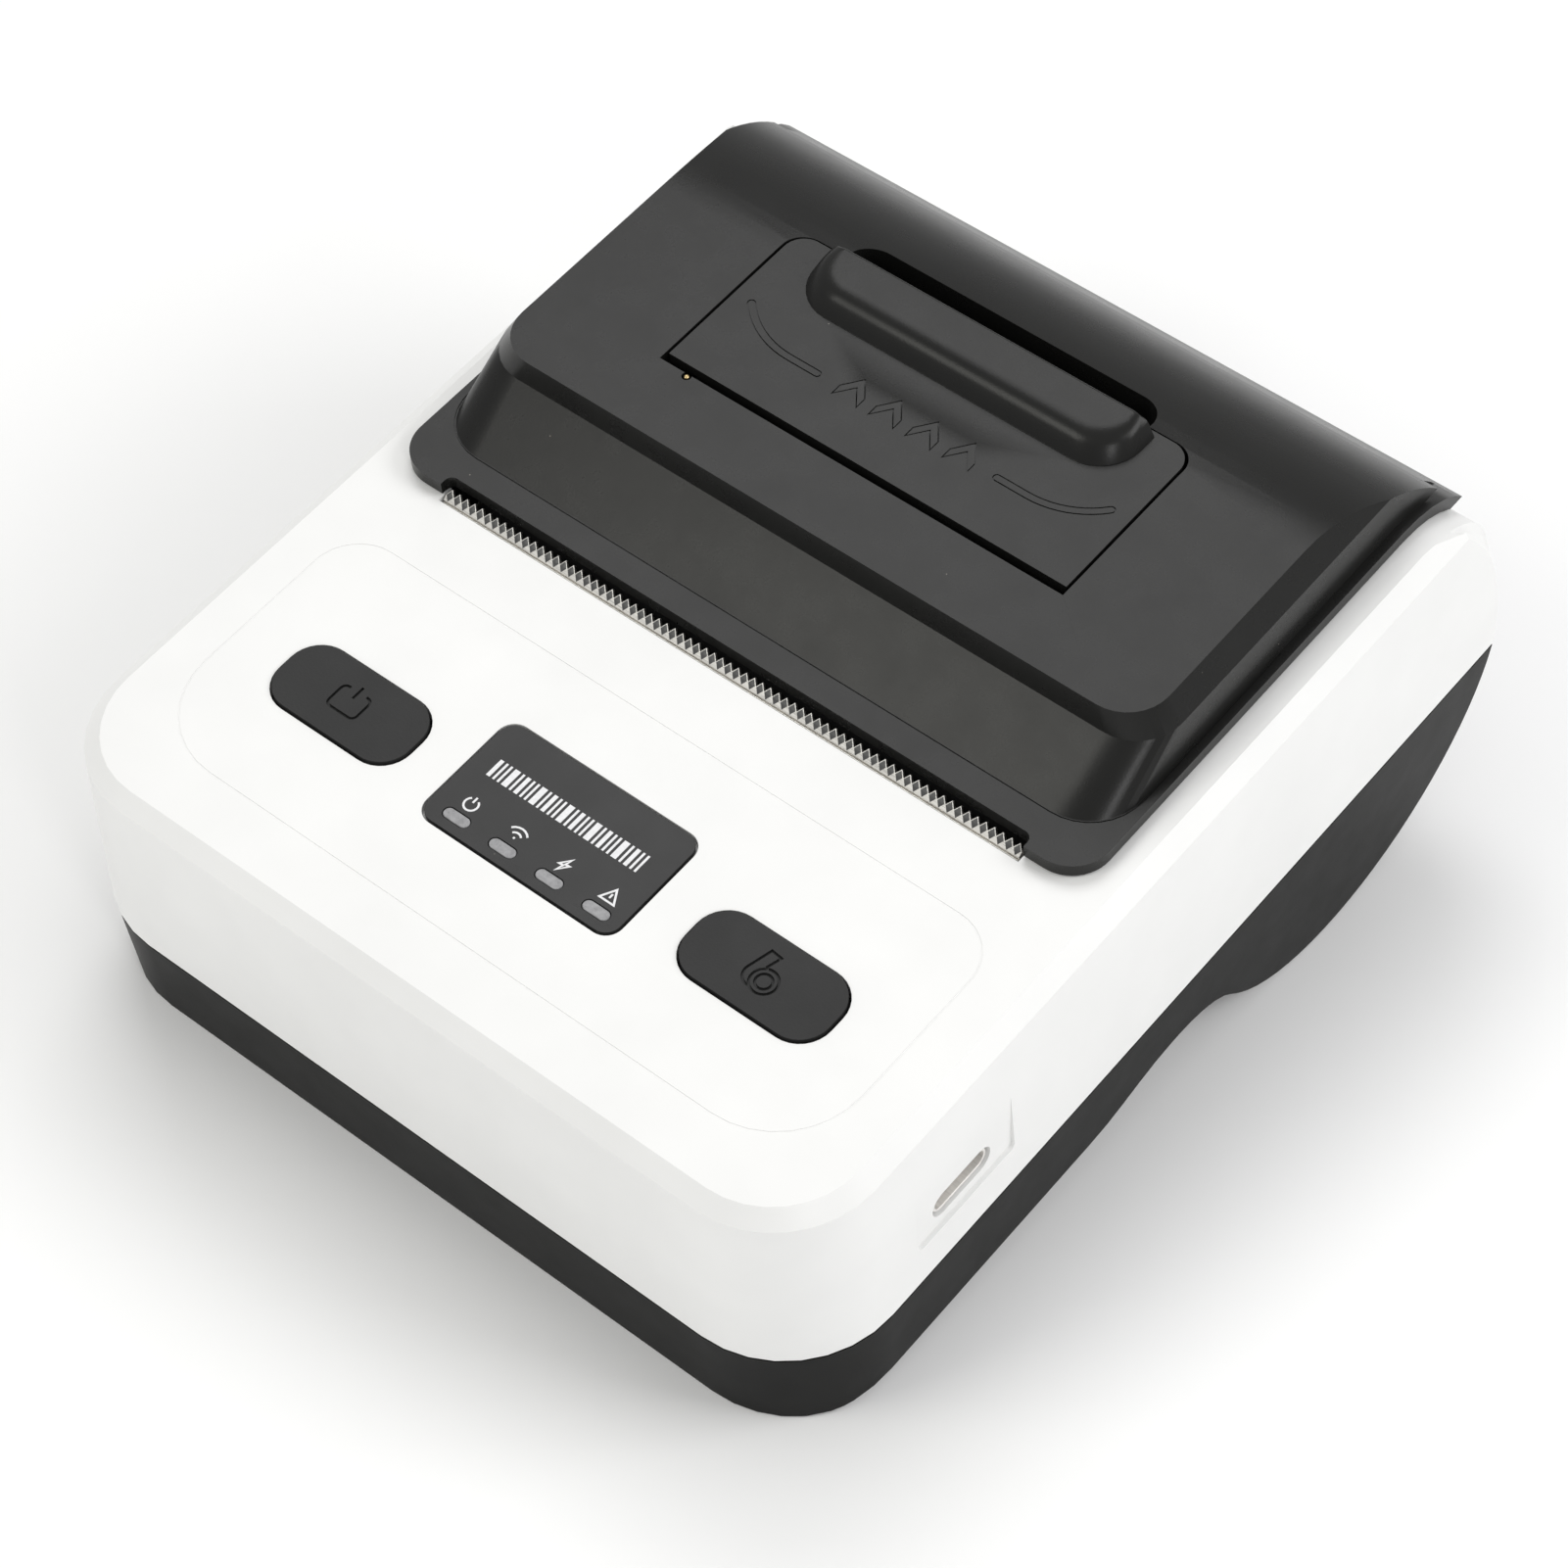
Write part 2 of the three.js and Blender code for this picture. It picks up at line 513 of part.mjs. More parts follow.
function latchLugs() {
  const arm = polygon([
    [75, 35],
    [75, 33.4],
    [79.4, LATCH.z - 1.4],
    [LATCH.y, LATCH.z],
    [78.7, 35],
  ]);
  return bothSides((side) => {
    const [x0, x1] = spanX(side, LATCH_LUG.from, LATCH_LUG.to);
    return prismX(arm, x0, x1).add(cylinderX(LATCH.barrelR, x0, x1, LATCH.y, LATCH.z, 16));
  });
}

function fingerPocketTub() {
  const { halfWidth, frontY, rearY, floorZ, wall } = POCKET;
  const plan = roundedRect(-halfWidth - wall, halfWidth + wall, frontY - wall, rearY + wall, 1, 4.5);
  const tub = prismZ(plan, floorZ - 1, COVER.topZ).intersect(prismX(coverSideProfile(0.5, 50, 5), -60, 60));
  return tub.subtract(box(-60, 60, 50, frontY + 1, FLAP.bottomZ - 0.6, 60));
}

function paperCover() {
  const shell = union(coverFlange(), coverDome(), coverCurtain()).subtract(coverCavity());
  const barrel = cylinderX(HINGE.barrelR, -HINGE.barrelHalf, HINGE.barrelHalf, HINGE.y, HINGE.z, 24);
  const lugRoom = bothSides((side) => {
    const [x0, x1] = spanX(side, HINGE.barrelHalf, 60);
    return cylinderX(HINGE.barrelR + GAP + 0.2, x0, x1, HINGE.y, HINGE.z, 24);
  });
  const body = shell.add(fingerPocketTub()).subtract(lugRoom).add(barrel).add(latchLugs());

  const { halfWidth: holeHalf, frontY: holeFront, rearY: holeRear, cornerR } = FLAP_HOLE;
  const hole = roundedRect(-holeHalf, holeHalf, holeFront, holeRear, SQUARE_CORNER, cornerR);
  const flapHole = prismZ(hole, FLAP.bottomZ - 0.4, 45).subtract(latchLugs());
  const { halfWidth, frontY, rearY, floorZ } = POCKET;
  const pocket = prismZ(roundedRect(-halfWidth, halfWidth, frontY, rearY, 0.5, 3.4), floorZ, 45);
  const bores = union(
    cylinderX(LATCH.shaftR + GAP, -30, 30, LATCH.y, LATCH.z, 14),
    cylinderX(HINGE_PIN.r + GAP, -60, GAP - HINGE_PIN.from, HINGE.y, HINGE.z, 14),
    cylinderX(HINGE_PIN.r + GAP, HINGE_PIN.from - GAP, 60, HINGE.y, HINGE.z, 14),
  );
  return body.subtract(union(flapHole, pocket)).subtract(bores);
}

function hingePin(side) {
  return cylinderX(HINGE_PIN.r, ...spanX(side, HINGE_PIN.from, HINGE_PIN.to), HINGE.y, HINGE.z, 14);
}

// ---------------------------------------------------------------- latch

function gripBar() {
  const rings = [
    planRing(23, 94.6, 5.6, FLAP.topZ - 0.5, GRIP.rearY),
    planRing(23, 94.6, 5.6, FLAP.topZ + 0.1, GRIP.rearY),
    planRing(22.2, 95.7, 5.2, 38.3, GRIP.rearY),
    planRing(21.4, 96.8, 4.8, 39.05, GRIP.rearY),
    planRing(20.2, 98.2, 4, GRIP.topZ, GRIP.rearY),
  ];
  return loft(rings);
}

function coverLatch() {
  const { halfWidth, frontY, rearY, bottomZ, topZ, cornerR } = FLAP;
  const outline = roundedRect(-halfWidth, halfWidth, frontY, rearY, SQUARE_CORNER, cornerR);
  const panel = prismZ(outline, bottomZ, topZ);
  const fingerEdge = box(-POCKET.halfWidth - 0.4, POCKET.halfWidth + 0.4, GRIP.rearY, rearY + 1, 30, 45);
  const barrel = cylinderX(LATCH.barrelR, -LATCH.barrelHalf, LATCH.barrelHalf, LATCH.y, LATCH.z, 16);
  const web = box(-LATCH.barrelHalf, LATCH.barrelHalf, frontY, 82.3, LATCH.z, bottomZ + 0.5);
  const lugRoom = bothSides((side) => {
    const [x0, x1] = spanX(side, LATCH_LUG.from - GAP, LATCH_LUG.to + GAP);
    return box(x0, x1, frontY - 1, 83.2, LATCH.z - 4, 35.2);
  });
  const bore = cylinderX(LATCH.shaftR + GAP, -60, 60, LATCH.y, LATCH.z, 14);
  return union(panel.subtract(fingerEdge), gripBar(), barrel, web).subtract(lugRoom).subtract(bore);
}

const latchShaft = () => cylinderX(LATCH.shaftR, -LATCH.shaftHalf, LATCH.shaftHalf, LATCH.y, LATCH.z, 14);

function latchHook(side) {
  const outline = polygon([
    [79.2, 31.6],
    [78.5, 24],
    [78.2, 20.4],
    [76.4, 19.6],
    [76.4, 18.4],
    [80.2, 18],
    [81.4, 24],
    [82.2, 31.6],
  ]);
  const [x0, x1] = spanX(side, HOOK.from, HOOK.to);
  const plate = prismX(outline, x0, x1).add(cylinderX(1.7, x0, x1, LATCH.y, LATCH.z, 16));
  return plate.subtract(cylinderX(LATCH.shaftR + GAP, x0 - 1, x1 + 1, LATCH.y, LATCH.z, 14));
}

// Steel keeper on the wall of the paper well, under which the nose of a latch hook catches.
function latchKeeper(side) {
  const { inner, frontY, rearY, bottomZ, topZ, flange, flangeBottomZ } = KEEPER;
  const wall = OPENING.halfWidth - GAP;
  const ledge = box(...spanX(side, inner, wall), frontY, rearY, bottomZ, topZ);
  return ledge.add(box(...spanX(side, wall - flange, wall), frontY, rearY, flangeBottomZ, topZ));
}

class Helix extends THREE.Curve {
  constructor(radius, length, turns) {
    super();
    Object.assign(this, { radius, length, turns });
  }
  getPoint(t, target = new THREE.Vector3()) {
    const angle = 2 * Math.PI * this.turns * t;
    return target.set(this.length * t, this.radius * Math.cos(angle), this.radius * Math.sin(angle));
  }
}

// Helical spring with its axis on +X from the origin.
function springGeometry(radius, length, turns, wireR) {
  const wire = new THREE.Shape();
  wire.absarc(0, 0, wireR, 0, 2 * Math.PI);
  const path = new Helix(radius, length, turns);
  return new THREE.ExtrudeGeometry(wire, { steps: turns * 12, curveSegments: 3, extrudePath: path });
}

const latchSpring = () => toSolid(springGeometry(1.45, 2.4, 4, 0.22).translate(25.3, LATCH.y, LATCH.z));

// ---------------------------------------------------------------- print mechanism and drive

// Toothed steel strip: an upright web on the edge of the deck, and a blade that leans back above its bend.
function tearBar() {
  const { half, teeth, toothHeight, frontY, bottomZ, bendZ, height, thickness, lean } = TEAR_BAR;
  const pitch = (2 * half) / teeth;
  const edge = Array.from({ length: teeth }, (_, i) => {
    const x = half - i * pitch;
    return [
      [x - pitch / 2, height],
      [x - pitch, height - toothHeight],
    ];
  }).flat();
  const outline = polygon([[-half, 0], [half, 0], [half, height - toothHeight], ...edge]);
  const geometry = new THREE.ExtrudeGeometry(outline, { depth: thickness, bevelEnabled: false });
  const blade = toSolid(geometry.rotateX(lean).translate(0, frontY + thickness, bendZ));
  const web = box(-half, half, frontY, frontY + thickness, bottomZ, bendZ + 0.1);
  return blade.add(web);
}

function platenRoller() {
  const bore = cylinderX(PLATEN.shaftR + GAP, -60, 60, PLATEN.y, PLATEN.z);
  return cylinderX(PLATEN.r, -PLATEN.half, PLATEN.half, PLATEN.y, PLATEN.z, 32).subtract(bore);
}

// Round steel shaft with a flat at its left end for the gear.
function platenShaft() {
  const round = cylinderX(PLATEN.shaftR, -PLATEN.shaftHalf, PLATEN.shaftHalf, PLATEN.y, PLATEN.z);
  return round.subtract(box(-60, PLATEN_GEAR.x1, 50, 75, PLATEN.z + 1.7, PLATEN.z + 4));
}

// Bracket that hangs inside the cover, staked to it by its foot, and holds a platen bush.
function platenBracket(side) {
  const { from, to, footFrom, bottomR, boreR } = ARM;
  const bottom = arc(PLATEN.y, PLATEN.z, bottomR, Math.PI, 2 * Math.PI, 12);
  const blade = polygon([...bottom, [70.6, 31.3], [65, 27.55], [62.2, 24.7], [57.4, 24.7]]);
  const foot = polygon([[65.2, 26.4], [70.6, 30], [70.6, 31.3], [65.2, 27.6]]);
  const solid = prismX(blade, ...spanX(side, from, to)).add(prismX(foot, ...spanX(side, footFrom, to)));
  return solid.subtract(cylinderX(boreR, -60, 60, PLATEN.y, PLATEN.z, 24));
}

function platenBush(side) {
  const [x0, x1] = spanX(side, ARM.from + 0.1, ARM.to - 0.1);
  const ring = cylinderX(ARM.boreR - GAP, x0, x1, PLATEN.y, PLATEN.z, 24);
  return ring.subtract(cylinderX(PLATEN.shaftR + GAP, -60, 60, PLATEN.y, PLATEN.z));
}

const pitchRadius = (teeth) => (teeth * GEAR_MODULE) / 2;
const ADDENDUM = 0.4;
const DEDENDUM = 0.6;

// Spur gear outline, four points a tooth, turned by a part of its tooth pitch.
function gearOutline(teeth, phase) {
  const tip = pitchRadius(teeth) + ADDENDUM * GEAR_MODULE * 2;
  const root = pitchRadius(teeth) - DEDENDUM * GEAR_MODULE * 2;
  const pitch = (2 * Math.PI) / teeth;
  const flanks = [
    [root, -0.32],
    [tip, -0.13],
    [tip, 0.13],
    [root, 0.32],
  ];
  const points = Array.from({ length: teeth }, (_, i) =>
    flanks.map(([r, part]) => {
      const angle = pitch * (i + part + phase);
      return [r * Math.cos(angle), r * Math.sin(angle)];
    }),
  );
  return polygon(points.flat());
}

function gear(teeth, x0, x1, y, z, boreR, phase = 0) {
  const wheel = prismX(gearOutline(teeth, phase), x0, x1).translate([0, y, z]);
  return wheel.subtract(cylinderX(boreR, x0 - 1, x1 + 1, y, z, 14));
}

function platenGear() {
  const { teeth, x0, x1 } = PLATEN_GEAR;
  return gear(teeth, x0, x1, PLATEN.y, PLATEN.z, PLATEN.shaftR + GAP);
}

const GEAR_POST_R = 1;

function reductionGear() {
  const { smallTeeth, bigTeeth, bigX0, bigX1, y, z } = REDUCTION;
  const small = gear(smallTeeth, bigX1 - 0.1, PLATEN_GEAR.x1, y, z, GEAR_POST_R + GAP);
  return small.add(gear(bigTeeth, bigX0, bigX1, y, z, GEAR_POST_R + GAP));
}

const gearPost = () => cylinderX(GEAR_POST_R, -48, -43.2, REDUCTION.y, REDUCTION.z, 14);

const MOTOR_SHAFT_R = 0.75;

function motorPinion() {
  const { y, z, pinionTeeth, pinionX1, x0 } = MOTOR;
  const wheel = gear(pinionTeeth, REDUCTION.bigX0, pinionX1, y, z, MOTOR_SHAFT_R - 0.2, 0.5);
  return wheel.add(cylinderX(MOTOR_SHAFT_R, REDUCTION.bigX0, x0 - GAP, y, z, 14));
}

function stepperMotor() {
  const can = cylinderX(MOTOR.r, MOTOR.x0, MOTOR.x1, MOTOR.y, MOTOR.z, 28);
  const rearBoss = cylinderX(2.5, MOTOR.x1, MOTOR.x1 + 1.2, MOTOR.y, MOTOR.z, 16);
  return can.add(rearBoss);
}

// Folded steel frame: a wall behind the print head, a left ear for motor and gears, and a right ear.
function mechanismFrame() {
  const { wallY, thickness, bottomZ, topZ, earX, earRearY } = FRAME;
  const wall = box(-earX, earX, wallY, wallY + thickness, bottomZ, topZ);
  const motorRoom = box(-earX + 1, MOTOR.x1 + 1.4, wallY - 1, wallY + 2, MOTOR.z - 9.2, MOTOR.z + 9.2);
  const leftEar = box(-earX, -earX + 1, MOTOR_EAR_Y, earRearY, bottomZ, topZ);
  const rightEar = box(earX - 1, earX, wallY, earRearY, bottomZ, topZ);
  const foot = box(-earX, earX, wallY - 1.5, wallY + thickness, bottomZ, bottomZ + 1);
  const shaftHole = cylinderX(2.2, -60, -30, MOTOR.y, MOTOR.z, 16);
  const armRoom = bothSides((side) => {
    const [x0, x1] = spanX(side, ARM.from - GAP, ARM.to + 1);
    return cylinderX(7.2, x0, x1, PLATEN.y, PLATEN.z, 24);
  });
  return union(wall, leftEar, rightEar, foot).subtract(union(motorRoom, shaftHole, armRoom));
}

const HEAD = { y0: 56.5, y1: 57.6, z0: 11, z1: 22.5 };
const HEAT_SINK = { y0: 54, y1: 56.2, z0: 9.5, z1: 22.5, half: 40, grooves: 7, groovePitch: 10 };

const thermalHead = () => box(-40.4, 40.4, HEAD.y0, HEAD.y1, HEAD.z0, HEAD.z1);

function heatSink() {
  const { half, y0, y1, z0, z1, grooves, groovePitch } = HEAT_SINK;
  const cuts = Array.from({ length: grooves }, (_, i) => {
    const x = (i - (grooves - 1) / 2) * groovePitch;
    return box(x - 1, x + 1, y0 - 1, y0 + 0.8, z0 - 1, z1 + 1);
  });
  return box(-half, half, y0, y1, z0, z1).subtract(union(...cuts));
}

function headSpring(side) {
  const geometry = springGeometry(2.4, 1.4, 3, 0.2).rotateZ(Math.PI / 2);
  return toSolid(geometry.translate(side * 25, FRAME.wallY + FRAME.thickness + 0.45, 16.5));
}

function headFlexCable() {
  const path = [
    [57.3, 10.7],
    [57.3, 5],
    [53.6, 3.4],
    [52.1, 3.4],
    [52.1, 3.8],
    [53.4, 3.8],
    [56.9, 5.3],
    [56.9, 10.7],
  ];
  return prismX(polygon(path.reverse()), -15, 15);
}

// ---------------------------------------------------------------- paper well

function paperBin() {
  const { innerR, outerR, halfWidth, side, frontZ, rearZ } = BIN;
  const from = Math.PI - Math.asin((frontZ - BAY.z) / outerR);
  const to = 2 * Math.PI + Math.asin((rearZ - BAY.z) / outerR);
  const outer = arc(BAY.y, BAY.z, outerR, from, to, 26);
  const inner = arc(BAY.y, BAY.z, innerR, to, from, 26);
  const trough = prismX(polygon([...outer, ...inner]), -halfWidth, halfWidth);
  const cheek = polygon(arc(BAY.y, BAY.z, outerR, from, to, 26));
  const cheeks = bothSides((sign) => prismX(cheek, ...spanX(sign, halfWidth - side, halfWidth)));
  const guide = prismX(
    polygon([
      [73.4, 11.9],
      [60.4, 10.4],
      [60.4, 9.2],
      [73.4, 10.6],
    ]),
    -halfWidth,
    halfWidth,
  );
  return union(trough, cheeks, guide);
}

function paperRoll() {
  const bore = cylinderX(PAPER_ROLL.coreR + GAP, -60, 60, BAY.y, BAY.z);
  return cylinderX(PAPER_ROLL.r, -PAPER_ROLL.half, PAPER_ROLL.half, BAY.y, BAY.z, 40).subtract(bore);
}

function paperCore() {
  const bore = cylinderX(PAPER_ROLL.coreBore, -60, 60, BAY.y, BAY.z);
  return cylinderX(PAPER_ROLL.coreR, -PAPER_ROLL.half, PAPER_ROLL.half, BAY.y, BAY.z).subtract(bore);
}

// Reflective paper sensor under the guide, looking up at the paper through a window.
const paperSensor = () => box(-3, 3, 63.5, 67.5, 6.6, 9);

// ---------------------------------------------------------------- keys, lights and electronics

const buttonX = (side) => KEYS_X + side * BUTTON.x;

function buttonOutline(side, grow = 0) {
  const x = buttonX(side);
  const [halfX, halfY] = [BUTTON.halfX + grow, BUTTON.halfY + grow];
  return roundedRect(x - halfX, x + halfX, BUTTON.y - halfY, BUTTON.y + halfY, BUTTON.cornerR + grow);
}

function panelOutline(grow = 0) {
  const { x, y } = PANEL;
  const [halfX, halfY] = [PANEL.halfX + grow, PANEL.halfY + grow];
  return roundedRect(x - halfX, x + halfX, y - halfY, y + halfY, PANEL.cornerR + grow);
}

const SWITCH_TOP = 22.1;

// Key cap, almost flush with the deck, with a skirt that stops under the deck and a stem over its switch.
function button(side) {
  const deckUnderside = DECK.z - DECK.thickness;
  const rim = deckUnderside - 1.4;
  const cap = prismZ(buttonOutline(side), rim, BUTTON.topZ, 5);
  const skirt = prismZ(buttonOutline(side, 0.9), rim, deckUnderside - GAP, 5);
  const hollow = prismZ(buttonOutline(side, -1.4), rim - 1, BUTTON.topZ - 1.4, 4);
  const stemBottom = SWITCH_TOP + BUTTON.travel + 0.15;
  const stem = cylinderZ(1.8, buttonX(side), BUTTON.y, stemBottom, BUTTON.topZ - 1, 12);
  return cap.add(skirt).subtract(hollow).add(stem);
}

function indicatorPanel() {
  const { bottomZ, topZ } = PANEL;
  const windows = Array.from({ length: LIGHT.count }, (_, i) =>
    prismZ(pill(LIGHT.halfX + 0.1, LIGHT.halfY + 0.1, lightX(i), LIGHT.y), bottomZ - 1, topZ + 1, 4),
  );
  return prismZ(panelOutline(), bottomZ, topZ, 4).subtract(union(...windows));
}

const lightPipe = (index) =>
  prismZ(pill(LIGHT.halfX, LIGHT.halfY, lightX(index), LIGHT.y), LIGHT.bottomZ, PANEL.topZ, 4);

const indicatorLed = (index) => {
  const x = lightX(index);
  return box(x - 0.8, x + 0.8, LIGHT.y - 0.6, LIGHT.y + 0.6, KEY_BOARD.z1 + GAP, LIGHT.bottomZ - GAP);
};

function keyBoard() {
  const { halfX, frontY, rearY, z0, z1 } = KEY_BOARD;
  return box(-halfX, halfX, frontY, rearY, z0, z1);
}

function keySwitch(side) {
  const x = buttonX(side);
  const base = box(x - 3, x + 3, BUTTON.y - 3, BUTTON.y + 3, KEY_BOARD.z1 + GAP, SWITCH_TOP - 0.5);
  return base.add(cylinderZ(1.6, x, BUTTON.y, SWITCH_TOP - 0.6, SWITCH_TOP, 12));
}

function mainBoard() {
  const { x0, x1, frontY, rearY, z0, z1 } = MAIN_BOARD;
  const outline = polygon([
    [x0, frontY],
    [BOARD_CORNER.x, frontY],
    [BOARD_CORNER.x, BOARD_CORNER.y],
    [x1, BOARD_CORNER.y],
    [x1, rearY],
    [BOARD_NOTCH.x, rearY],
    [BOARD_NOTCH.x, BOARD_NOTCH.y],
    [x0, BOARD_NOTCH.y],
  ]);
  const chips = [
    box(-12, 2, 16, 30, z1 - 0.1, z1 + 1.4),
    box(12, 22, 12, 18, z1 - 0.1, z1 + 1.8),
    box(-34, -26, 12, 22, z1 - 0.1, z1 + 2.6),
    box(-8, 22, 40, 44, z1 - 0.1, z1 + 3.2),
  ];
  const usbRoom = box(USB.x0 - 1, 60, USB.y - 5.2, USB.y + 5.2, z0 - 1, z1 + 1);
  return union(prismZ(outline, z0, z1), ...chips).subtract(usbRoom);
}

// Charging socket: a steel sleeve round a contact tongue, closed at its inner end.
function usbPort() {
  const sleeve = (halfY, halfZ) =>
    roundedRect(USB.y - halfY, USB.y + halfY, USB.z - halfZ, USB.z + halfZ, halfZ * 0.98);
  const outer = prismX(sleeve(USB.shellHalfY, USB.shellHalfZ), USB.x0, USB.x1, 5);
  const inner = prismX(sleeve(USB.shellHalfY - 0.35, USB.shellHalfZ - 0.35), USB.x0 + 1, USB.x1 + 1, 5);
  const tongue = box(USB.x0 + 0.5, USB.x1 - 1, USB.y - 3.1, USB.y + 3.1, USB.z - 0.35, USB.z + 0.35);
  return outer.subtract(inner).add(tongue);
}

const batteryPack = () =>
  prismZ(roundedRect(-BATTERY.halfX, BATTERY.halfX, BATTERY.y0, BATTERY.y1, 2.5), BATTERY.z0, BATTERY.z1, 3);

function screw(x, y, seatZ, { headR, headH, shankR, length }) {
  const head = cylinderZ(headR, x, y, seatZ + 0.4, seatZ + headH, 16);
  const slot = box(x - headR * 0.6, x + headR * 0.6, y - 0.25, y + 0.25, seatZ, seatZ + 1);
  const crossSlot = box(x - 0.25, x + 0.25, y - headR * 0.6, y + headR * 0.6, seatZ, seatZ + 1);
  return head.subtract(slot).subtract(crossSlot).add(cylinderZ(shankR, x, y, seatZ + 1, seatZ + length, 10));
}

const caseScrew = ({ x, y }) => screw(x, y, screwSeatZ(y), { ...SCREW, length: SCREW.length + 8 });
const doorScrew = (side) =>
  screw(side * DOOR_SCREW.x, DOOR_SCREW.y, FLOOR.z - 0.1, { ...DOOR_SCREW, headH: 1, length: 5.5 });

// ---------------------------------------------------------------- materials and assembly

const FINISH = {
  whiteShell: { color: 0xf3f3f1, roughness: 0.45, metalness: 0 },
  blackShell: { color: 0x2b2b2a, roughness: 0.5, metalness: 0 },
  blackCover: { color: 0x2e2e2d, roughness: 0.4, metalness: 0 },
  keyRubber: { color: 0x383838, roughness: 0.75, metalness: 0 },
  panelFilm: { color: 0x222222, roughness: 0.35, metalness: 0 },
  lightPipe: { color: 0x8c8c8a, roughness: 0.3, metalness: 0 },
  steel: { color: 0xc4c4c0, roughness: 0.3, metalness: 1 },
  brass: { color: 0xc9a45c, roughness: 0.35, metalness: 1 },
  aluminium: { color: 0xb9bcbf, roughness: 0.4, metalness: 1 },
  platenRubber: { color: 0x1d1d1e, roughness: 0.85, metalness: 0 },
  gearPlastic: { color: 0xe8e4d6, roughness: 0.5, metalness: 0 },
  board: { color: 0x1f5a36, roughness: 0.5, metalness: 0 },
  blackPlastic: { color: 0x1b1b1c, roughness: 0.5, metalness: 0 },
  ceramic: { color: 0xd8d4c4, roughness: 0.25, metalness: 0 },
  paper: { color: 0xf7f6f1, roughness: 0.85, metalness: 0 },
  card: { color: 0xa98a63, roughness: 0.9, metalness: 0 },
  battery: { color: 0x31506e, roughness: 0.5, metalness: 0 },
  flexFilm: { color: 0xb8762e, roughness: 0.4, metalness: 0 },
};

const printer = new THREE.Group();
const body = new THREE.Group();
body.rotation.x = REST_TILT;
printer.add(body);

function add(name, solid, finish) {
  const mesh = new THREE.Mesh(toGeometry(solid), new THREE.MeshStandardMaterial(FINISH[finish]));
  mesh.name = name;
  body.add(mesh);
}

add("upper_shell", upperShell(), "whiteShell");
add("lower_shell", lowerShell(), "blackShell");
add("battery_door", batteryDoor(), "blackShell");
add("paper_cover", paperCover(), "blackCover");
add("cover_latch", coverLatch(), "blackCover");
add("latch_shaft", latchShaft(), "brass");
add("latch_spring", latchSpring(), "steel");
add("tear_bar", tearBar(), "steel");
add("indicator_panel", indicatorPanel(), "panelFilm");
add("platen_roller", platenRoller(), "platenRubber");
add("platen_shaft", platenShaft(), "steel");
add("platen_gear", platenGear(), "gearPlastic");
add("reduction_gear", reductionGear(), "gearPlastic");
add("gear_post", gearPost(), "steel");
add("motor_pinion", motorPinion(), "brass");
add("stepper_motor", stepperMotor(), "steel");
add("mechanism_frame", mechanismFrame(), "steel");
add("thermal_head", thermalHead(), "ceramic");
add("heat_sink", heatSink(), "aluminium");
add("head_flex_cable", headFlexCable(), "flexFilm");
add("paper_bin", paperBin(), "blackPlastic");
add("paper_roll", paperRoll(), "paper");
add("paper_core", paperCore(), "card");
add("paper_sensor", paperSensor(), "blackPlastic");
add("key_board", keyBoard(), "board");
add("main_board", mainBoard(), "board");
add("usb_port", usbPort(), "steel");
add("battery_pack", batteryPack(), "battery");

for (const [side, sideName, keyName] of [
  [-1, "left", "power"],
  [1, "right", "feed"],
]) {
  add(`${keyName}_button`, button(side), "keyRubber");
  add(`${keyName}_switch`, keySwitch(side), "blackPlastic");
  add(`cover_hinge_pin_${sideName}`, hingePin(side), "steel");
  add(`latch_hook_${sideName}`, latchHook(side), "steel");
  add(`latch_keeper_${sideName}`, latchKeeper(side), "steel");
  add(`platen_bracket_${sideName}`, platenBracket(side), "blackPlastic");
  add(`platen_bush_${sideName}`, platenBush(side), "gearPlastic");
  add(`head_spring_${sideName}`, headSpring(side), "steel");
  add(`battery_door_screw_${sideName}`, doorScrew(side), "steel");
}
for (let i = 0; i < LIGHT.count; i++) {
  add(`light_pipe_${i + 1}`, lightPipe(i), "lightPipe");
  add(`indicator_led_${i + 1}`, indicatorLed(i), "ceramic");
}
for (const place of CASE_SCREWS) {
  add(`case_screw_${place.name}`, caseScrew(place), "steel");
}

// The origin is under the middle of the standing printer.
const extent = new THREE.Box3().setFromObject(printer, true);
const middle = extent.getCenter(new THREE.Vector3());
body.position.set(-middle.x, -middle.y, -extent.min.z);

export default printer;
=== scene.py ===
"""Looks of the thermal label printer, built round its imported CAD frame.

Lengths are millimetres in the body's own frame, as in the CAD source: x = 0 on the centre plane, y = 0 at the foot of
the front wall, z = 0 on the parting plane. BODY takes them to the row frame, in metres.
"""

import json
import math

import bmesh
import bpy
from mathutils import Matrix, Quaternion, Vector


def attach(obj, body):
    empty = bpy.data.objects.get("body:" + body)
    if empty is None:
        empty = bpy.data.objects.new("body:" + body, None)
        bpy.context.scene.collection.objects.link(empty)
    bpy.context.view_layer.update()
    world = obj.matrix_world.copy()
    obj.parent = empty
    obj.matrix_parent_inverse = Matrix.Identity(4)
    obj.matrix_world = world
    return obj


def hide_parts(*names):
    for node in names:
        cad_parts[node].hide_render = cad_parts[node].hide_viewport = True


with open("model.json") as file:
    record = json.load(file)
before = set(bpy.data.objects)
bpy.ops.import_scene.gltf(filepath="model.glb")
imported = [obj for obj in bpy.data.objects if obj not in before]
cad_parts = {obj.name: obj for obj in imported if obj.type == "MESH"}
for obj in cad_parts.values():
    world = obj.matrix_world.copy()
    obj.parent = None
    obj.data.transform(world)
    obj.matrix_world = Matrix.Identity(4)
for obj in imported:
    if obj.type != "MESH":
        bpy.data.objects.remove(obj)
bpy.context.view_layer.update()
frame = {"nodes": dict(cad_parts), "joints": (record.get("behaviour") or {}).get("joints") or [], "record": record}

NODES = frame["nodes"]
MM = 0.001


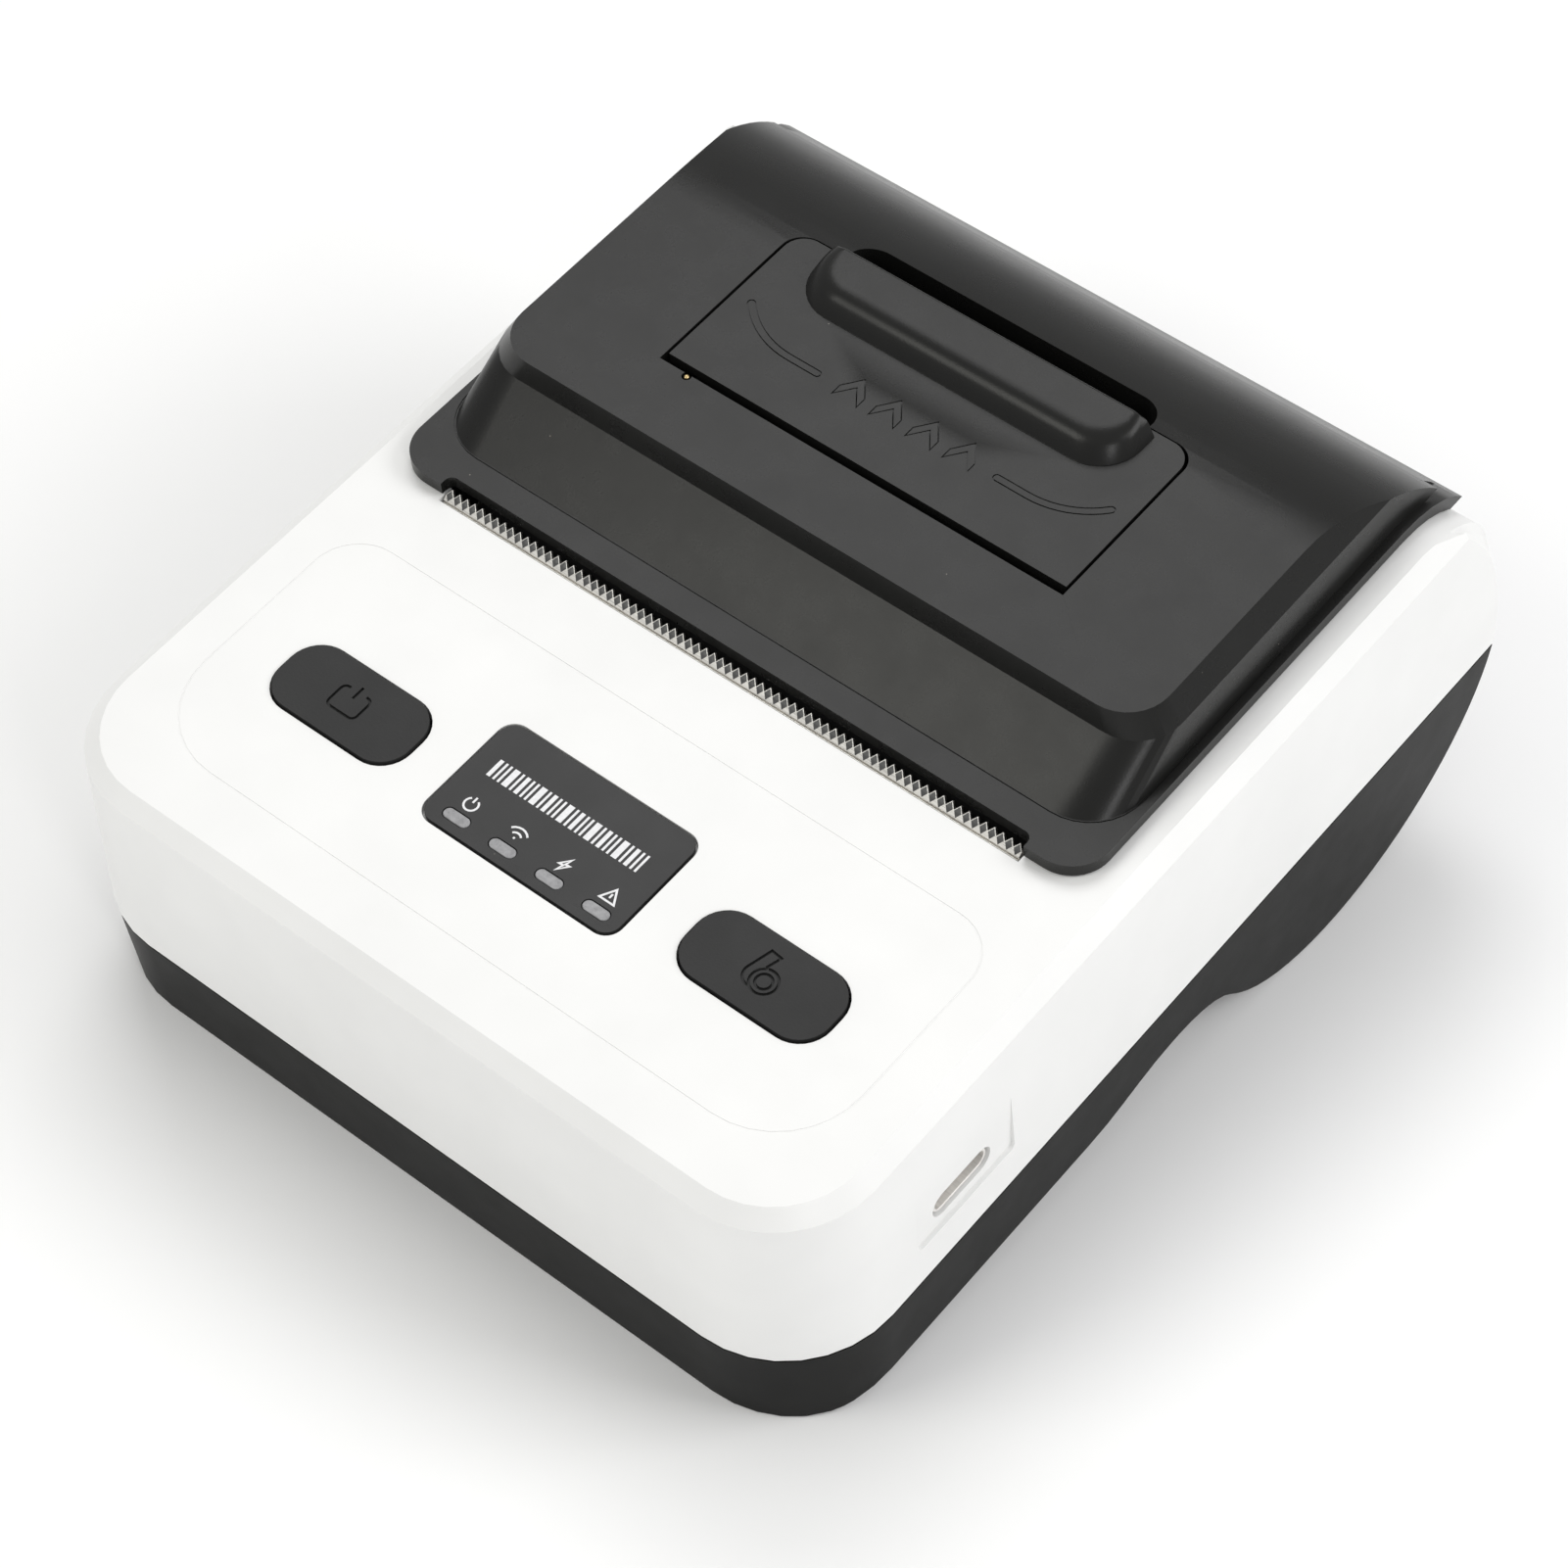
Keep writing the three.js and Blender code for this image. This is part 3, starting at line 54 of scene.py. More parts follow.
# The standing tilt comes from the travel of the power key, and the body's origin from the cover's hinge.
JOINTS = {joint["name"]: joint for joint in frame["joints"]}
KEY_AXIS = JOINTS["power_press"]["axis"]
TILT = math.atan2(KEY_AXIS[1], -KEY_AXIS[2])
HINGE = Vector((0, 127.2, 13.2))
TURN = Matrix.Rotation(TILT, 4, "X")
ORIGIN = Vector(JOINTS["cover_hinge"]["pos_m"]) - TURN @ (HINGE * MM)
BODY = Matrix.Translation(ORIGIN) @ TURN @ Matrix.Scale(MM, 4)


def body_box(node):
    """Lowest and highest corner of a CAD node, in body millimetres."""
    back = BODY.inverted()
    points = [back @ vertex.co for vertex in NODES[node].data.vertices]
    return [Vector(pick(point[axis] for point in points) for axis in range(3)) for pick in (min, max)]


def top_middle(node):
    """Centre of a CAD node in plan, and the height of its top."""
    low, high = body_box(node)
    return (low.x + high.x) / 2, (low.y + high.y) / 2, high.z


# ---------------------------------------------------------------- camera, lights, floor

# The photograph's viewpoint: metres, the lens for a 36 mm sensor, and the turn as a quaternion.
VIEWPOINT = {"place": (0.20073, -0.26314, 0.38561), "turn": (0.87733, 0.34159, 0.10626, 0.31989), "lens": 98.1}
# The point that every light faces, at about half the printer's height.
MIDDLE = Vector((0, 0, 0.03))
WORLD_STRENGTH = 0.52
FLOOR_HALF = 3
# The floor lies this far under the printer, so that the two faces don't share a plane.
FLOOR_GAP = 0.0002


def add_camera():
    data = bpy.data.cameras.new("camera")
    data.sensor_width = 36
    data.lens = VIEWPOINT["lens"]
    data.clip_start = 0.02
    camera = bpy.data.objects.new("camera", data)
    camera.rotation_mode = "QUATERNION"
    camera.location = VIEWPOINT["place"]
    camera.rotation_quaternion = Quaternion(VIEWPOINT["turn"])
    bpy.context.collection.objects.link(camera)
    bpy.context.scene.camera = camera


def add_softbox(name, location, size, watts, colour=(1, 1, 1)):
    """A soft rectangular light that faces the printer."""
    data = bpy.data.lights.new(name, "AREA")
    data.shape = "RECTANGLE"
    data.size, data.size_y = size
    data.energy = watts
    data.color = colour
    light = bpy.data.objects.new(name, data)
    light.location = location
    light.rotation_euler = (MIDDLE - Vector(location)).to_track_quat("-Z", "Y").to_euler()
    bpy.context.collection.objects.link(light)


def add_studio():
    scene = bpy.context.scene
    scene.view_settings.view_transform = "Standard"
    world = bpy.data.worlds.new("studio")
    scene.world = world
    world.use_nodes = True
    background = world.node_tree.nodes["Background"]
    background.inputs["Color"].default_value = (1, 1, 1, 1)
    background.inputs["Strength"].default_value = WORLD_STRENGTH
    add_softbox("top_light", (-0.29, 0.27, 0.74), (0.46, 0.42), 1.8)
    add_softbox("front_light", (-0.3, -0.58, 0.62), (0.34, 0.34), 1.55, (1, 0.995, 0.93))
    add_softbox("side_light", (0.62, 0.34, 0.6), (0.5, 0.4), 2.7)
    add_softbox("corner_light", (0.66, -0.4, 0.47), (0.14, 0.2), 0.8)

    floor = bpy.data.meshes.new("floor")
    signs = ((-1, -1), (1, -1), (1, 1), (-1, 1))
    floor.from_pydata([(FLOOR_HALF * x, FLOOR_HALF * y, 0) for x, y in signs], [], [(0, 1, 2, 3)])
    sheet = bpy.data.objects.new("floor", floor)
    sheet.location.z = -FLOOR_GAP
    floor.materials.append(plain_material("floor_paper", (0.97, 0.97, 0.97), 0.9))
    bpy.context.collection.objects.link(sheet)


# ---------------------------------------------------------------- materials

# Sockets of the mix node in its colour form.
MIX_FACTOR, MIX_A, MIX_B, MIX_RESULT = 0, 6, 7, 2
# How wide the clouds of tone, the ripples and the patches of wear are on moulded plastic.
CLOUD_MM, RIPPLE_MM, WEAR_MM = 14, 9, 5
RIPPLE_DEPTH_MM, RIPPLE_STRENGTH = 0.05, 0.1
WEAR = 0.02
DUST_CELL_MM, DUST_PATCH_MM = 3.2, 7
DUST_COLOUR = (150, 145, 135)
TRACK_CELL_MM = 2.4


def srgb(value):
    """The linear value of an sRGB value of 0 to 1."""
    return value / 12.92 if value <= 0.04045 else ((value + 0.055) / 1.055) ** 2.4


def tone(*levels):
    """A linear colour from sRGB levels of 0 to 255."""
    return tuple(srgb(level / 255) for level in levels) + (1,)


class Nodes:
    """Small helper that adds and links shader nodes."""

    def __init__(self, name):
        self.material = bpy.data.materials.new(name)
        self.material.use_nodes = True
        self.tree = self.material.node_tree
        self.shader = self.tree.nodes["Principled BSDF"]

    def add(self, kind, **inputs):
        node = self.tree.nodes.new(kind)
        for key, value in inputs.items():
            self.put(node, key, value)
        return node

    def put(self, node, key, value):
        """Sets an input, by name or number, or links another node's output to it."""
        socket = node.inputs[key.replace("_", " ")] if isinstance(key, str) else node.inputs[key]
        if isinstance(value, bpy.types.NodeSocket):
            self.tree.links.new(value, socket)
        else:
            socket.default_value = value

    def coordinates(self, scale=(1, 1, 1)):
        place = self.add("ShaderNodeTexCoord")
        mapping = self.add("ShaderNodeMapping", Vector=place.outputs["Object"])
        mapping.inputs["Scale"].default_value = scale
        return mapping.outputs["Vector"]

    def noise(self, size_mm, detail, roughness=0.5, stretch=(1, 1, 1)):
        """Noise whose features are about size_mm wide."""
        node = self.add("ShaderNodeTexNoise", Vector=self.coordinates(stretch))
        node.inputs["Scale"].default_value = 1 / (size_mm * MM)
        node.inputs["Detail"].default_value = detail
        node.inputs["Roughness"].default_value = roughness
        return node.outputs["Fac"]

    def ramp(self, fac, low, high, start, end):
        """Maps fac from low..high to start..end, clamped."""
        node = self.add("ShaderNodeMapRange", Value=fac)
        for key, value in zip(("From Min", "From Max", "To Min", "To Max"), (low, high, start, end)):
            node.inputs[key].default_value = value
        return node.outputs["Result"]

    def mix(self, fac, a, b):
        node = self.add("ShaderNodeMix")
        node.data_type = "RGBA"
        for socket, value in ((MIX_FACTOR, fac), (MIX_A, a), (MIX_B, b)):
            self.put(node, socket, value)
        return node.outputs[MIX_RESULT]

    def multiply(self, a, b):
        node = self.add("ShaderNodeMath")
        node.operation = "MULTIPLY"
        self.put(node, 0, a)
        self.put(node, 1, b)
        return node.outputs[0]

    def bump(self, height, depth_mm, strength, below=None):
        """A raised normal, laid over the normal below where one is given."""
        node = self.add("ShaderNodeBump", Height=height)
        node.inputs["Strength"].default_value = strength
        node.inputs["Distance"].default_value = depth_mm * MM
        if below is not None:
            self.put(node, "Normal", below)
        return node.outputs["Normal"]

    def surface(self, **inputs):
        """The finished material, with these inputs of its shader."""
        for key, value in inputs.items():
            self.put(self.shader, key, value)
        return self.material


def plain_material(name, colour, roughness):
    nodes = Nodes(name)
    return nodes.surface(Base_Color=(*colour, 1), Roughness=roughness)


def moulded_plastic(name, dark, light, roughness, grain_mm, grain_depth, dust=0.0, shine=0.5):
    """Moulded plastic: two close tones in broad clouds, fine grain, faint wear and some specks of dust."""
    nodes = Nodes(name)
    clouds = nodes.ramp(nodes.noise(CLOUD_MM, 3), 0.3, 0.7, 0, 1)
    colour = nodes.mix(clouds, tone(*dark), tone(*light))
    grain = nodes.noise(grain_mm, 2, 0.6)
    ripple = nodes.bump(nodes.noise(RIPPLE_MM, 1), RIPPLE_DEPTH_MM, RIPPLE_STRENGTH)
    blur = nodes.ramp(nodes.noise(WEAR_MM, 4, 0.6), 0.3, 0.7, roughness - WEAR, roughness + WEAR)
    if dust:
        cells = nodes.add("ShaderNodeTexVoronoi", Vector=nodes.coordinates())
        cells.inputs["Scale"].default_value = 1 / (DUST_CELL_MM * MM)
        near = nodes.ramp(cells.outputs["Distance"], 0.012, 0.03, 1, 0)
        some = nodes.ramp(nodes.noise(DUST_PATCH_MM, 1), 0.58, 0.6, 0, 1)
        specks = nodes.multiply(nodes.multiply(near, some), dust)
        colour = nodes.mix(specks, colour, tone(*DUST_COLOUR))
    normal = nodes.bump(grain, grain_depth, 0.6, ripple)
    return nodes.surface(Base_Color=colour, Roughness=blur, Normal=normal, Specular_IOR_Level=shine)


def metal(name, colour, roughness, brushed, size_mm=0.3):
    """Metal with streaks in its tone and gloss, longest along the axis on which brushed is smallest."""
    nodes = Nodes(name)
    streaks = nodes.noise(size_mm, 4, 0.7, brushed)
    dark = tuple(c * 0.82 for c in colour)
    base = nodes.mix(nodes.ramp(streaks, 0.3, 0.7, 0, 1), (*dark, 1), (*colour, 1))
    shine = nodes.ramp(streaks, 0.3, 0.7, roughness - 0.08, roughness + 0.1)
    return nodes.surface(Base_Color=base, Metallic=1.0, Roughness=shine, Normal=nodes.bump(streaks, 0.01, 0.4))


def layered(name, dark, light, roughness, size_mm, depth_mm, stretch=(1, 1, 1)):
    """A surface of two tones that follow a stretched noise, raised by the same noise."""
    nodes = Nodes(name)
    pattern = nodes.noise(size_mm, 3, 0.6, stretch)
    colour = nodes.mix(nodes.ramp(pattern, 0.35, 0.65, 0, 1), tone(*dark), tone(*light))
    shine = nodes.ramp(pattern, 0.3, 0.7, roughness - 0.06, roughness + 0.06)
    normal = nodes.bump(pattern, depth_mm, 0.6)
    return nodes.surface(Base_Color=colour, Roughness=shine, Normal=normal)


def board_material():
    """Green solder mask over copper tracks."""
    nodes = Nodes("circuit_board")
    cells = nodes.add("ShaderNodeTexVoronoi", Vector=nodes.coordinates())
    cells.distance = "MANHATTAN"
    cells.feature = "F2"
    cells.inputs["Scale"].default_value = 1 / (TRACK_CELL_MM * MM)
    tracks = nodes.ramp(cells.outputs["Distance"], 0.55, 0.6, 0, 1)
    colour = nodes.mix(tracks, tone(24, 78, 44), tone(46, 118, 66))
    return nodes.surface(Base_Color=colour, Roughness=0.35, Normal=nodes.bump(tracks, 0.03, 0.5))


def make_materials():
    along_x = (0.05, 1, 1)
    return {
        "white_shell": moulded_plastic("white_shell", (236, 236, 235), (240, 240, 239), 0.42, 0.3, 0.006),
        "black_shell": moulded_plastic("black_shell", (10, 10, 9), (12, 12, 11), 0.42, 0.2, 0.014, shine=0.09),
        "black_cover": moulded_plastic("black_cover", (25, 25, 24), (28, 28, 27), 0.28, 0.2, 0.016, 0.8, 0.24),
        "key_rubber": moulded_plastic("key_rubber", (36, 36, 36), (42, 42, 42), 0.45, 0.35, 0.02, shine=0.24),
        "panel_film": moulded_plastic("panel_film", (28, 28, 28), (33, 33, 33), 0.3, 0.18, 0.01, 0.5, 0.26),
        "light_pipe": layered("light_pipe", (120, 120, 122), (150, 150, 152), 0.3, 0.8, 0.01),
        "steel": metal("steel", (0.72, 0.71, 0.69), 0.28, (1, 1, 0.06)),
        "tear_bar_steel": metal("tear_bar_steel", (0.86, 0.84, 0.8), 0.3, along_x),
        # A dark copy of the tear bar's steel for the coined diamonds: painted shade of their hollows, not a finish of
        # its own.
        "coined_steel_painted_shade": metal("coined_steel_painted_shade", (0.13, 0.13, 0.13), 0.5, along_x, 0.15),
        "port_metal": metal("port_metal", (0.95, 0.93, 0.9), 0.55, along_x),
        "brass": metal("brass", (0.78, 0.6, 0.3), 0.3, along_x),
        "aluminium": metal("aluminium", (0.74, 0.75, 0.77), 0.35, along_x),
        "platen_rubber": layered("platen_rubber", (26, 26, 27), (38, 38, 39), 0.8, 0.25, 0.02),
        "gear_plastic": layered("gear_plastic", (222, 218, 205), (236, 232, 220), 0.45, 0.6, 0.01),
        "board": board_material(),
        "black_plastic": moulded_plastic("black_plastic", (30, 30, 31), (40, 40, 41), 0.5, 0.3, 0.02),
        "ceramic": layered("ceramic", (206, 200, 184), (222, 217, 203), 0.22, 1.5, 0.004),
        "paper": layered("paper", (238, 237, 232), (248, 247, 243), 0.85, 0.12, 0.03, (30, 1, 1)),
        "card": layered("card", (150, 120, 86), (178, 146, 106), 0.9, 0.4, 0.03),
        "battery": layered("battery", (38, 62, 92), (52, 82, 118), 0.35, 3, 0.02),
        "flex_film": layered("flex_film", (150, 92, 34), (196, 132, 58), 0.35, 0.4, 0.02, (1, 0.02, 0.02)),
        "white_print": layered("white_print", (226, 226, 228), (240, 240, 242), 0.5, 0.5, 0.004),
    }


# ---------------------------------------------------------------- meshes

# The least cosine of a stroke's mitre, so that a sharp corner doesn't grow a long spike.
SHARPEST_MITRE = 0.4
# Metres: points of a CAD mesh nearer than WELD are one point, and edges shorter than SLIVER go after a cut.
WELD, SLIVER = 2e-6, 4e-7
# Facets that turn less than FLAT are one face, and an edge that turns less than SMOOTH_BELOW is shaded smooth.
FLAT, SMOOTH_BELOW = math.radians(0.6), math.radians(32)
FACE_WEIGHT = 60
EDGE_SEGMENTS, TOP_SEGMENTS = 3, 6
TOP_SHARPER_THAN = math.radians(50)


def object_from(bm, name):
    mesh = bpy.data.meshes.new(name)
    bm.to_mesh(mesh)
    bm.free()
    obj = bpy.data.objects.new(name, mesh)
    bpy.context.collection.objects.link(obj)
    return obj


def join(objects, name):
    """One object out of several that don't touch."""
    bm = bmesh.new()
    for obj in objects:
        bm.from_mesh(obj.data)
        bpy.data.objects.remove(obj)
    return object_from(bm, name)


def bake_modifiers(obj):
    """Applies the object's modifiers to its own mesh."""
    graph = bpy.context.evaluated_depsgraph_get()
    mesh = bpy.data.meshes.new_from_object(obj.evaluated_get(graph))
    obj.modifiers.clear()
    obj.data = mesh


def prism(outline, z0, z1):
    """Closed prism over an outline of (x, y) points, counter-clockwise, in body millimetres."""
    bm = bmesh.new()
    low = [bm.verts.new((x, y, z0)) for x, y in outline]
    high = [bm.verts.new((x, y, z1)) for x, y in outline]
    bm.faces.new(reversed(low))
    bm.faces.new(high)
    for i in range(len(outline)):
        j = (i + 1) % len(outline)
        bm.faces.new((low[i], low[j], high[j], high[i]))
    return object_from(bm, "prism")


def arc(x, y, r, start, end, steps):
    """Points on an arc, from start to end in degrees."""
    angles = [math.radians(start + (end - start) * i / steps) for i in range(steps + 1)]
    return [(x + r * math.cos(a), y + r * math.sin(a)) for a in angles]


def rounded(x0, x1, y0, y1, front_r, rear_r, steps):
    """Outline of a rectangle whose front and rear corners have their own radius."""
    return (
        arc(x1 - front_r, y0 + front_r, front_r, -90, 0, steps)
        + arc(x1 - rear_r, y1 - rear_r, rear_r, 0, 90, steps)
        + arc(x0 + rear_r, y1 - rear_r, rear_r, 90, 180, steps)
        + arc(x0 + front_r, y0 + front_r, front_r, 180, 270, steps)
    )


def side_of(start, end):
    """Unit vector to the left of the way from start to end."""
    return Vector((start[1] - end[1], end[0] - start[0])).normalized()


def stroke(points, width, z0, z1, closed=False):
    """A bar of even width, with mitred corners, along a line of (x, y) points."""
    count = len(points)
    left, right = [], []
    for i, (x, y) in enumerate(points):
        sides = []
        if closed or i > 0:
            sides.append(side_of(points[i - 1], points[i]))
        if closed or i + 1 < count:
            sides.append(side_of(points[i], points[(i + 1) % count]))
        mitre = sum(sides, Vector((0, 0))).normalized()
        offset = mitre * (width / 2) / max(mitre.dot(sides[0]), SHARPEST_MITRE)
        left.append((x + offset.x, y + offset.y))
        right.append((x - offset.x, y - offset.y))
    bm = bmesh.new()
    rings = []
    for a, b in zip(right, left):
        rings.append([bm.verts.new(point) for point in ((*a, z0), (*b, z0), (*b, z1), (*a, z1))])
    for i in range(count if closed else count - 1):
        one, two = rings[i], rings[(i + 1) % count]
        for k in range(4):
            bm.faces.new((one[k], two[k], two[(k + 1) % 4], one[(k + 1) % 4]))
    if not closed:
        bm.faces.new(reversed(rings[0]))
        bm.faces.new(rings[-1])
    bmesh.ops.recalc_face_normals(bm, faces=bm.faces)
    return object_from(bm, "stroke")


def in_row_frame(obj):
    """Takes a mesh made in body millimetres to the row frame."""
    obj.data.transform(BODY)
    return obj


def drop_slivers(obj):
    """Removes the faces without width that the boolean leaves."""
    bm = bmesh.new()
    bm.from_mesh(obj.data)
    bmesh.ops.dissolve_degenerate(bm, dist=SLIVER, edges=bm.edges)
    bm.to_mesh(obj.data)
    bm.free()


def cut(target, cutters):
    """Cuts the cutters, given in body millimetres, out of the target."""
    for cutter in cutters:
        in_row_frame(cutter)
        modifier = target.modifiers.new("cut", "BOOLEAN")
        modifier.operation = "DIFFERENCE"
        modifier.solver = "EXACT"
        modifier.object = cutter
    bake_modifiers(target)
    for cutter in cutters:
        bpy.data.objects.remove(cutter)
    drop_slivers(target)


def shade(obj, weighted=True):
    """Smooth shading with sharp edges; weighted keeps flat faces flat beside their rounded edges."""
    obj.data.shade_smooth()
    obj.data.set_sharp_from_angle(angle=SMOOTH_BELOW)
    if weighted:
        modifier = obj.modifiers.new("face_weighted", "WEIGHTED_NORMAL")
        modifier.keep_sharp = True
        modifier.weight = FACE_WEIGHT


def clean_copy(node):
    """A copy of a CAD node's mesh whose flat facets are whole faces again."""
    bm = bmesh.new()
    bm.from_mesh(NODES[node].data)
    bmesh.ops.remove_doubles(bm, verts=bm.verts, dist=WELD)
    bmesh.ops.dissolve_limit(
        bm, angle_limit=FLAT, verts=bm.verts, edges=bm.edges, use_dissolve_boundaries=False
    )
    return object_from(bm, f"{node}_skin")


def round_edges(obj, width, from_angle):
    """Adds a bevel, in millimetres, to the edges that turn by more than from_angle degrees."""
    modifier = obj.modifiers.new("round_edges", "BEVEL")
    modifier.limit_method = "ANGLE"
    modifier.angle_limit = math.radians(from_angle)
    modifier.width = width * MM
    modifier.segments = EDGE_SEGMENTS
    modifier.use_clamp_overlap = True
    modifier.miter_outer = "MITER_ARC"


def round_top(obj, above, width):
    """Rounds the sharp edges that lie wholly above a height in the body's frame."""
    back = BODY.inverted()
    bm = bmesh.new()
    bm.from_mesh(obj.data)
    chosen = [
        edge
        for edge in bm.edges
        if all((back @ vertex.co).z > above for vertex in edge.verts)
        and edge.calc_face_angle(0) > TOP_SHARPER_THAN
    ]
    bmesh.ops.bevel(
        bm, geom=chosen, offset=width * MM, segments=TOP_SEGMENTS, profile=0.5, affect="EDGES", clamp_overlap=True
    )
    bm.to_mesh(obj.data)
    bm.free()


def dress(obj, material):
    obj.data.materials.clear()
    obj.data.materials.append(material)


def finish_piece(obj, body, material, replaces=()):
    dress(obj, material)
    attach(obj, body)
    if replaces:
        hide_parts(*replaces)


MATERIALS = make_materials()


def skin(node, body, slot, radius, cutters=(), from_angle=40, material=None, top=None):
    """Stands for a CAD node: the same shape with rounded edges and engraved detail."""
    obj = clean_copy(node)
    if top:
        round_top(obj, *top)
    if radius:
        round_edges(obj, radius, from_angle)
        bake_modifiers(obj)
    if cutters:
        cut(obj, cutters)
    shade(obj)
    finish_piece(obj, body, MATERIALS[material or slot], [node])


add_camera()
add_studio()

# ---------------------------------------------------------------- outlines of engraved and printed signs


def circle(x, y, r, steps=28):
    """Closed outline of a circle, without the first point again at its end."""
    return arc(x, y, r, 0, 360 - 360 / steps, steps - 1)


def loop(points):
    return points, True


def line(points):
    return points, False


def bars(signs, width, z0, z1):
    """Bars of even width along each loop and line of a sign."""
    return [stroke(points, width, z0, z1, closed) for points, closed in signs]


ROUND_END_STEPS = 6


def capsule(points, width):
    """Closed outline of even width round an open line, with round ends."""
    sides = []
    for route in (points, points[::-1]):
        for i, (x, y) in enumerate(route):
            before, after = route[max(i - 1, 0)], route[min(i + 1, len(route) - 1)]
            heading = math.degrees(math.atan2(after[1] - before[1], after[0] - before[0]))
            if i < len(route) - 1:
                sides += arc(x, y, width / 2, heading - 90, heading - 90, 1)[:1]
            else:
                sides += arc(x, y, width / 2, heading - 90, heading + 90, ROUND_END_STEPS)[:-1]
    return sides


def mirrored(points):
    return [(-x, y) for x, y in points]


def power_sign(x, y):
    """A rounded square, open at the top, and a bar in the opening."""
    half_x, half_y, r, opening = 2.05, 1.62, 0.7, 1.15
    frame_line = [(x - opening, y + half_y)]
    for side_x, side_y, start in ((-1, 1, 90), (-1, -1, 180), (1, -1, 270), (1, 1, 0)):
        frame_line += arc(x + side_x * (half_x - r), y + side_y * (half_y - r), r, start, start + 90, 5)
    frame_line.append((x + opening, y + half_y))
    return [line(frame_line), line([(x, y + 0.6), (x, y + 2.4)])]


def roll_sign(x, y):
    """A roll of paper seen from its end, with the paper coming off it upwards."""
    r, core_r, far_r, steps = 1.6, 0.95, 2.6, 10
    tongue = []
    for i in range(steps + 1):
        angle = math.radians(238 - 66 * i / steps)
        reach = r + (far_r - r) * math.sin(math.pi / 2 * i / steps)
        tongue.append((x + reach * math.cos(angle), y + reach * math.sin(angle)))
    tongue += [(x - 1.75, y + 3.5), (x - 0.35, y + 3.35), (x - 0.9, y + r - 0.1)]
    return [loop(circle(x, y, r)), loop(circle(x, y, core_r)), line(tongue)]


def wave_sign(x, y):
    """A dot with two arcs of radio waves over it."""
    return [line([(x, y - 0.75), (x, y - 0.5)])] + [line(arc(x, y - 0.7, r, 40, 140, 6)) for r in (0.8, 1.5)]


def bolt_sign(x, y):
    """A lightning bolt, whose second half is the first one turned half round."""
    half = [(0.35, 1), (-0.6, -0.15), (-0.05, -0.1)]
    return [loop([(x + dx, y + dy) for dx, dy in half + [(-dx, -dy) for dx, dy in half]])]


def warning_sign(x, y):
    """A triangle with a short bar in it."""
    return [loop([(x - 1, y - 0.8), (x + 1, y - 0.8), (x, y + 0.95)]), line([(x, y - 0.35), (x, y + 0.25)])]


def small_power_sign(x, y):
    """A ring, open at the top, and a bar in the opening."""
    return [line(arc(x, y - 0.1, 0.85, 125, 415, 14)), line([(x, y + 0.15), (x, y + 0.95)])]


def stripes(x, y, half, height, widths, gap):
    """A row of upright bars whose widths repeat, centred on x and kept within half of it."""
    edge, row = x - half, []
    while edge < x + half - widths[0]:
        width = widths[len(row) % len(widths)]
        row.append((edge + width / 2, width))
        edge += width + gap
    return [([(mid, y - height / 2), (mid, y + height / 2)], width) for mid, width in row]


# ---------------------------------------------------------------- white shell and its keys

GROOVE = {"halfX": 46.5, "y0": 10.3, "y1": 45, "frontR": 11, "rearR": 6, "width": 0.22, "depth": 0.07}
DECK_Z = 26
# Cutters reach this far past the face that they cut.
PAST = 1
deck_groove = stroke(
    rounded(-GROOVE["halfX"], GROOVE["halfX"], GROOVE["y0"], GROOVE["y1"], GROOVE["frontR"], GROOVE["rearR"], 8),
    GROOVE["width"],
    DECK_Z - GROOVE["depth"],
    DECK_Z + PAST,
    closed=True,
)
skin("upper_shell", "housing", "white_shell", 0.3, [deck_groove])

SIGN_WIDTH, SIGN_DEPTH = 0.34, 0.3
# Each key's body, its sign, and how far the sign stands from the key's middle.
KEYS = {
    "power_button": ("power_key", power_sign, -0.2, 0),
    "feed_button": ("feed_key", roll_sign, 0.6, -0.66),
}
for key, (body, sign, shift_x, shift_y) in KEYS.items():
    x, y, top = top_middle(key)
    engraved = bars(sign(x + shift_x, y + shift_y), SIGN_WIDTH, top - SIGN_DEPTH, top + PAST)
    skin(key, body, "key_rubber", 0.3, engraved)

# ---------------------------------------------------------------- indicator panel and its prints

skin("indicator_panel", "housing", "panel_film", 0.18)
PRINT = {"above": 0.03, "below": 0.05, "line": 0.24}
TITLE = {"shiftY": 1.7, "half": 10.9, "height": 2.5, "widths": (0.5, 0.28, 0.28, 0.75, 0.28), "gap": 0.36}
# Where a light's sign stands from the middle of its window.
LIGHT_SIGN = {"shiftX": 0.1, "shiftY": 2.35}
panel_x, panel_y, panel_top = top_middle("indicator_panel")


def panel_print(name, strokes):
    """One printed piece on the panel, out of several strokes."""
    printed = in_row_frame(join(strokes, name))
    finish_piece(printed, "housing", MATERIALS["white_print"])


def print_bars(signs, width):
    """Bars that stand a hair above the panel and reach a little way into it."""
    return bars(signs, width, panel_top - PRINT["below"], panel_top + PRINT["above"])


title_y = panel_y + TITLE["shiftY"]
title = []
for points, width in stripes(panel_x, title_y, TITLE["half"], TITLE["height"], TITLE["widths"], TITLE["gap"]):
    title += print_bars([line(points)], width)
panel_print("panel_title_stripes", title)

for number, sign in enumerate((small_power_sign, wave_sign, bolt_sign, warning_sign), 1):
    x, y, _ = top_middle(f"light_pipe_{number}")
    sign_lines = sign(x + LIGHT_SIGN["shiftX"], y + LIGHT_SIGN["shiftY"])
    panel_print(f"light_sign_{number}", print_bars(sign_lines, PRINT["line"]))
    skin(f"light_pipe_{number}", "housing", "light_pipe", 0.1)

# ---------------------------------------------------------------- black tray, cover and latch

skin("lower_shell", "housing", "black_shell", 0.5)
skin("battery_door", "housing", "black_shell", 0.35)
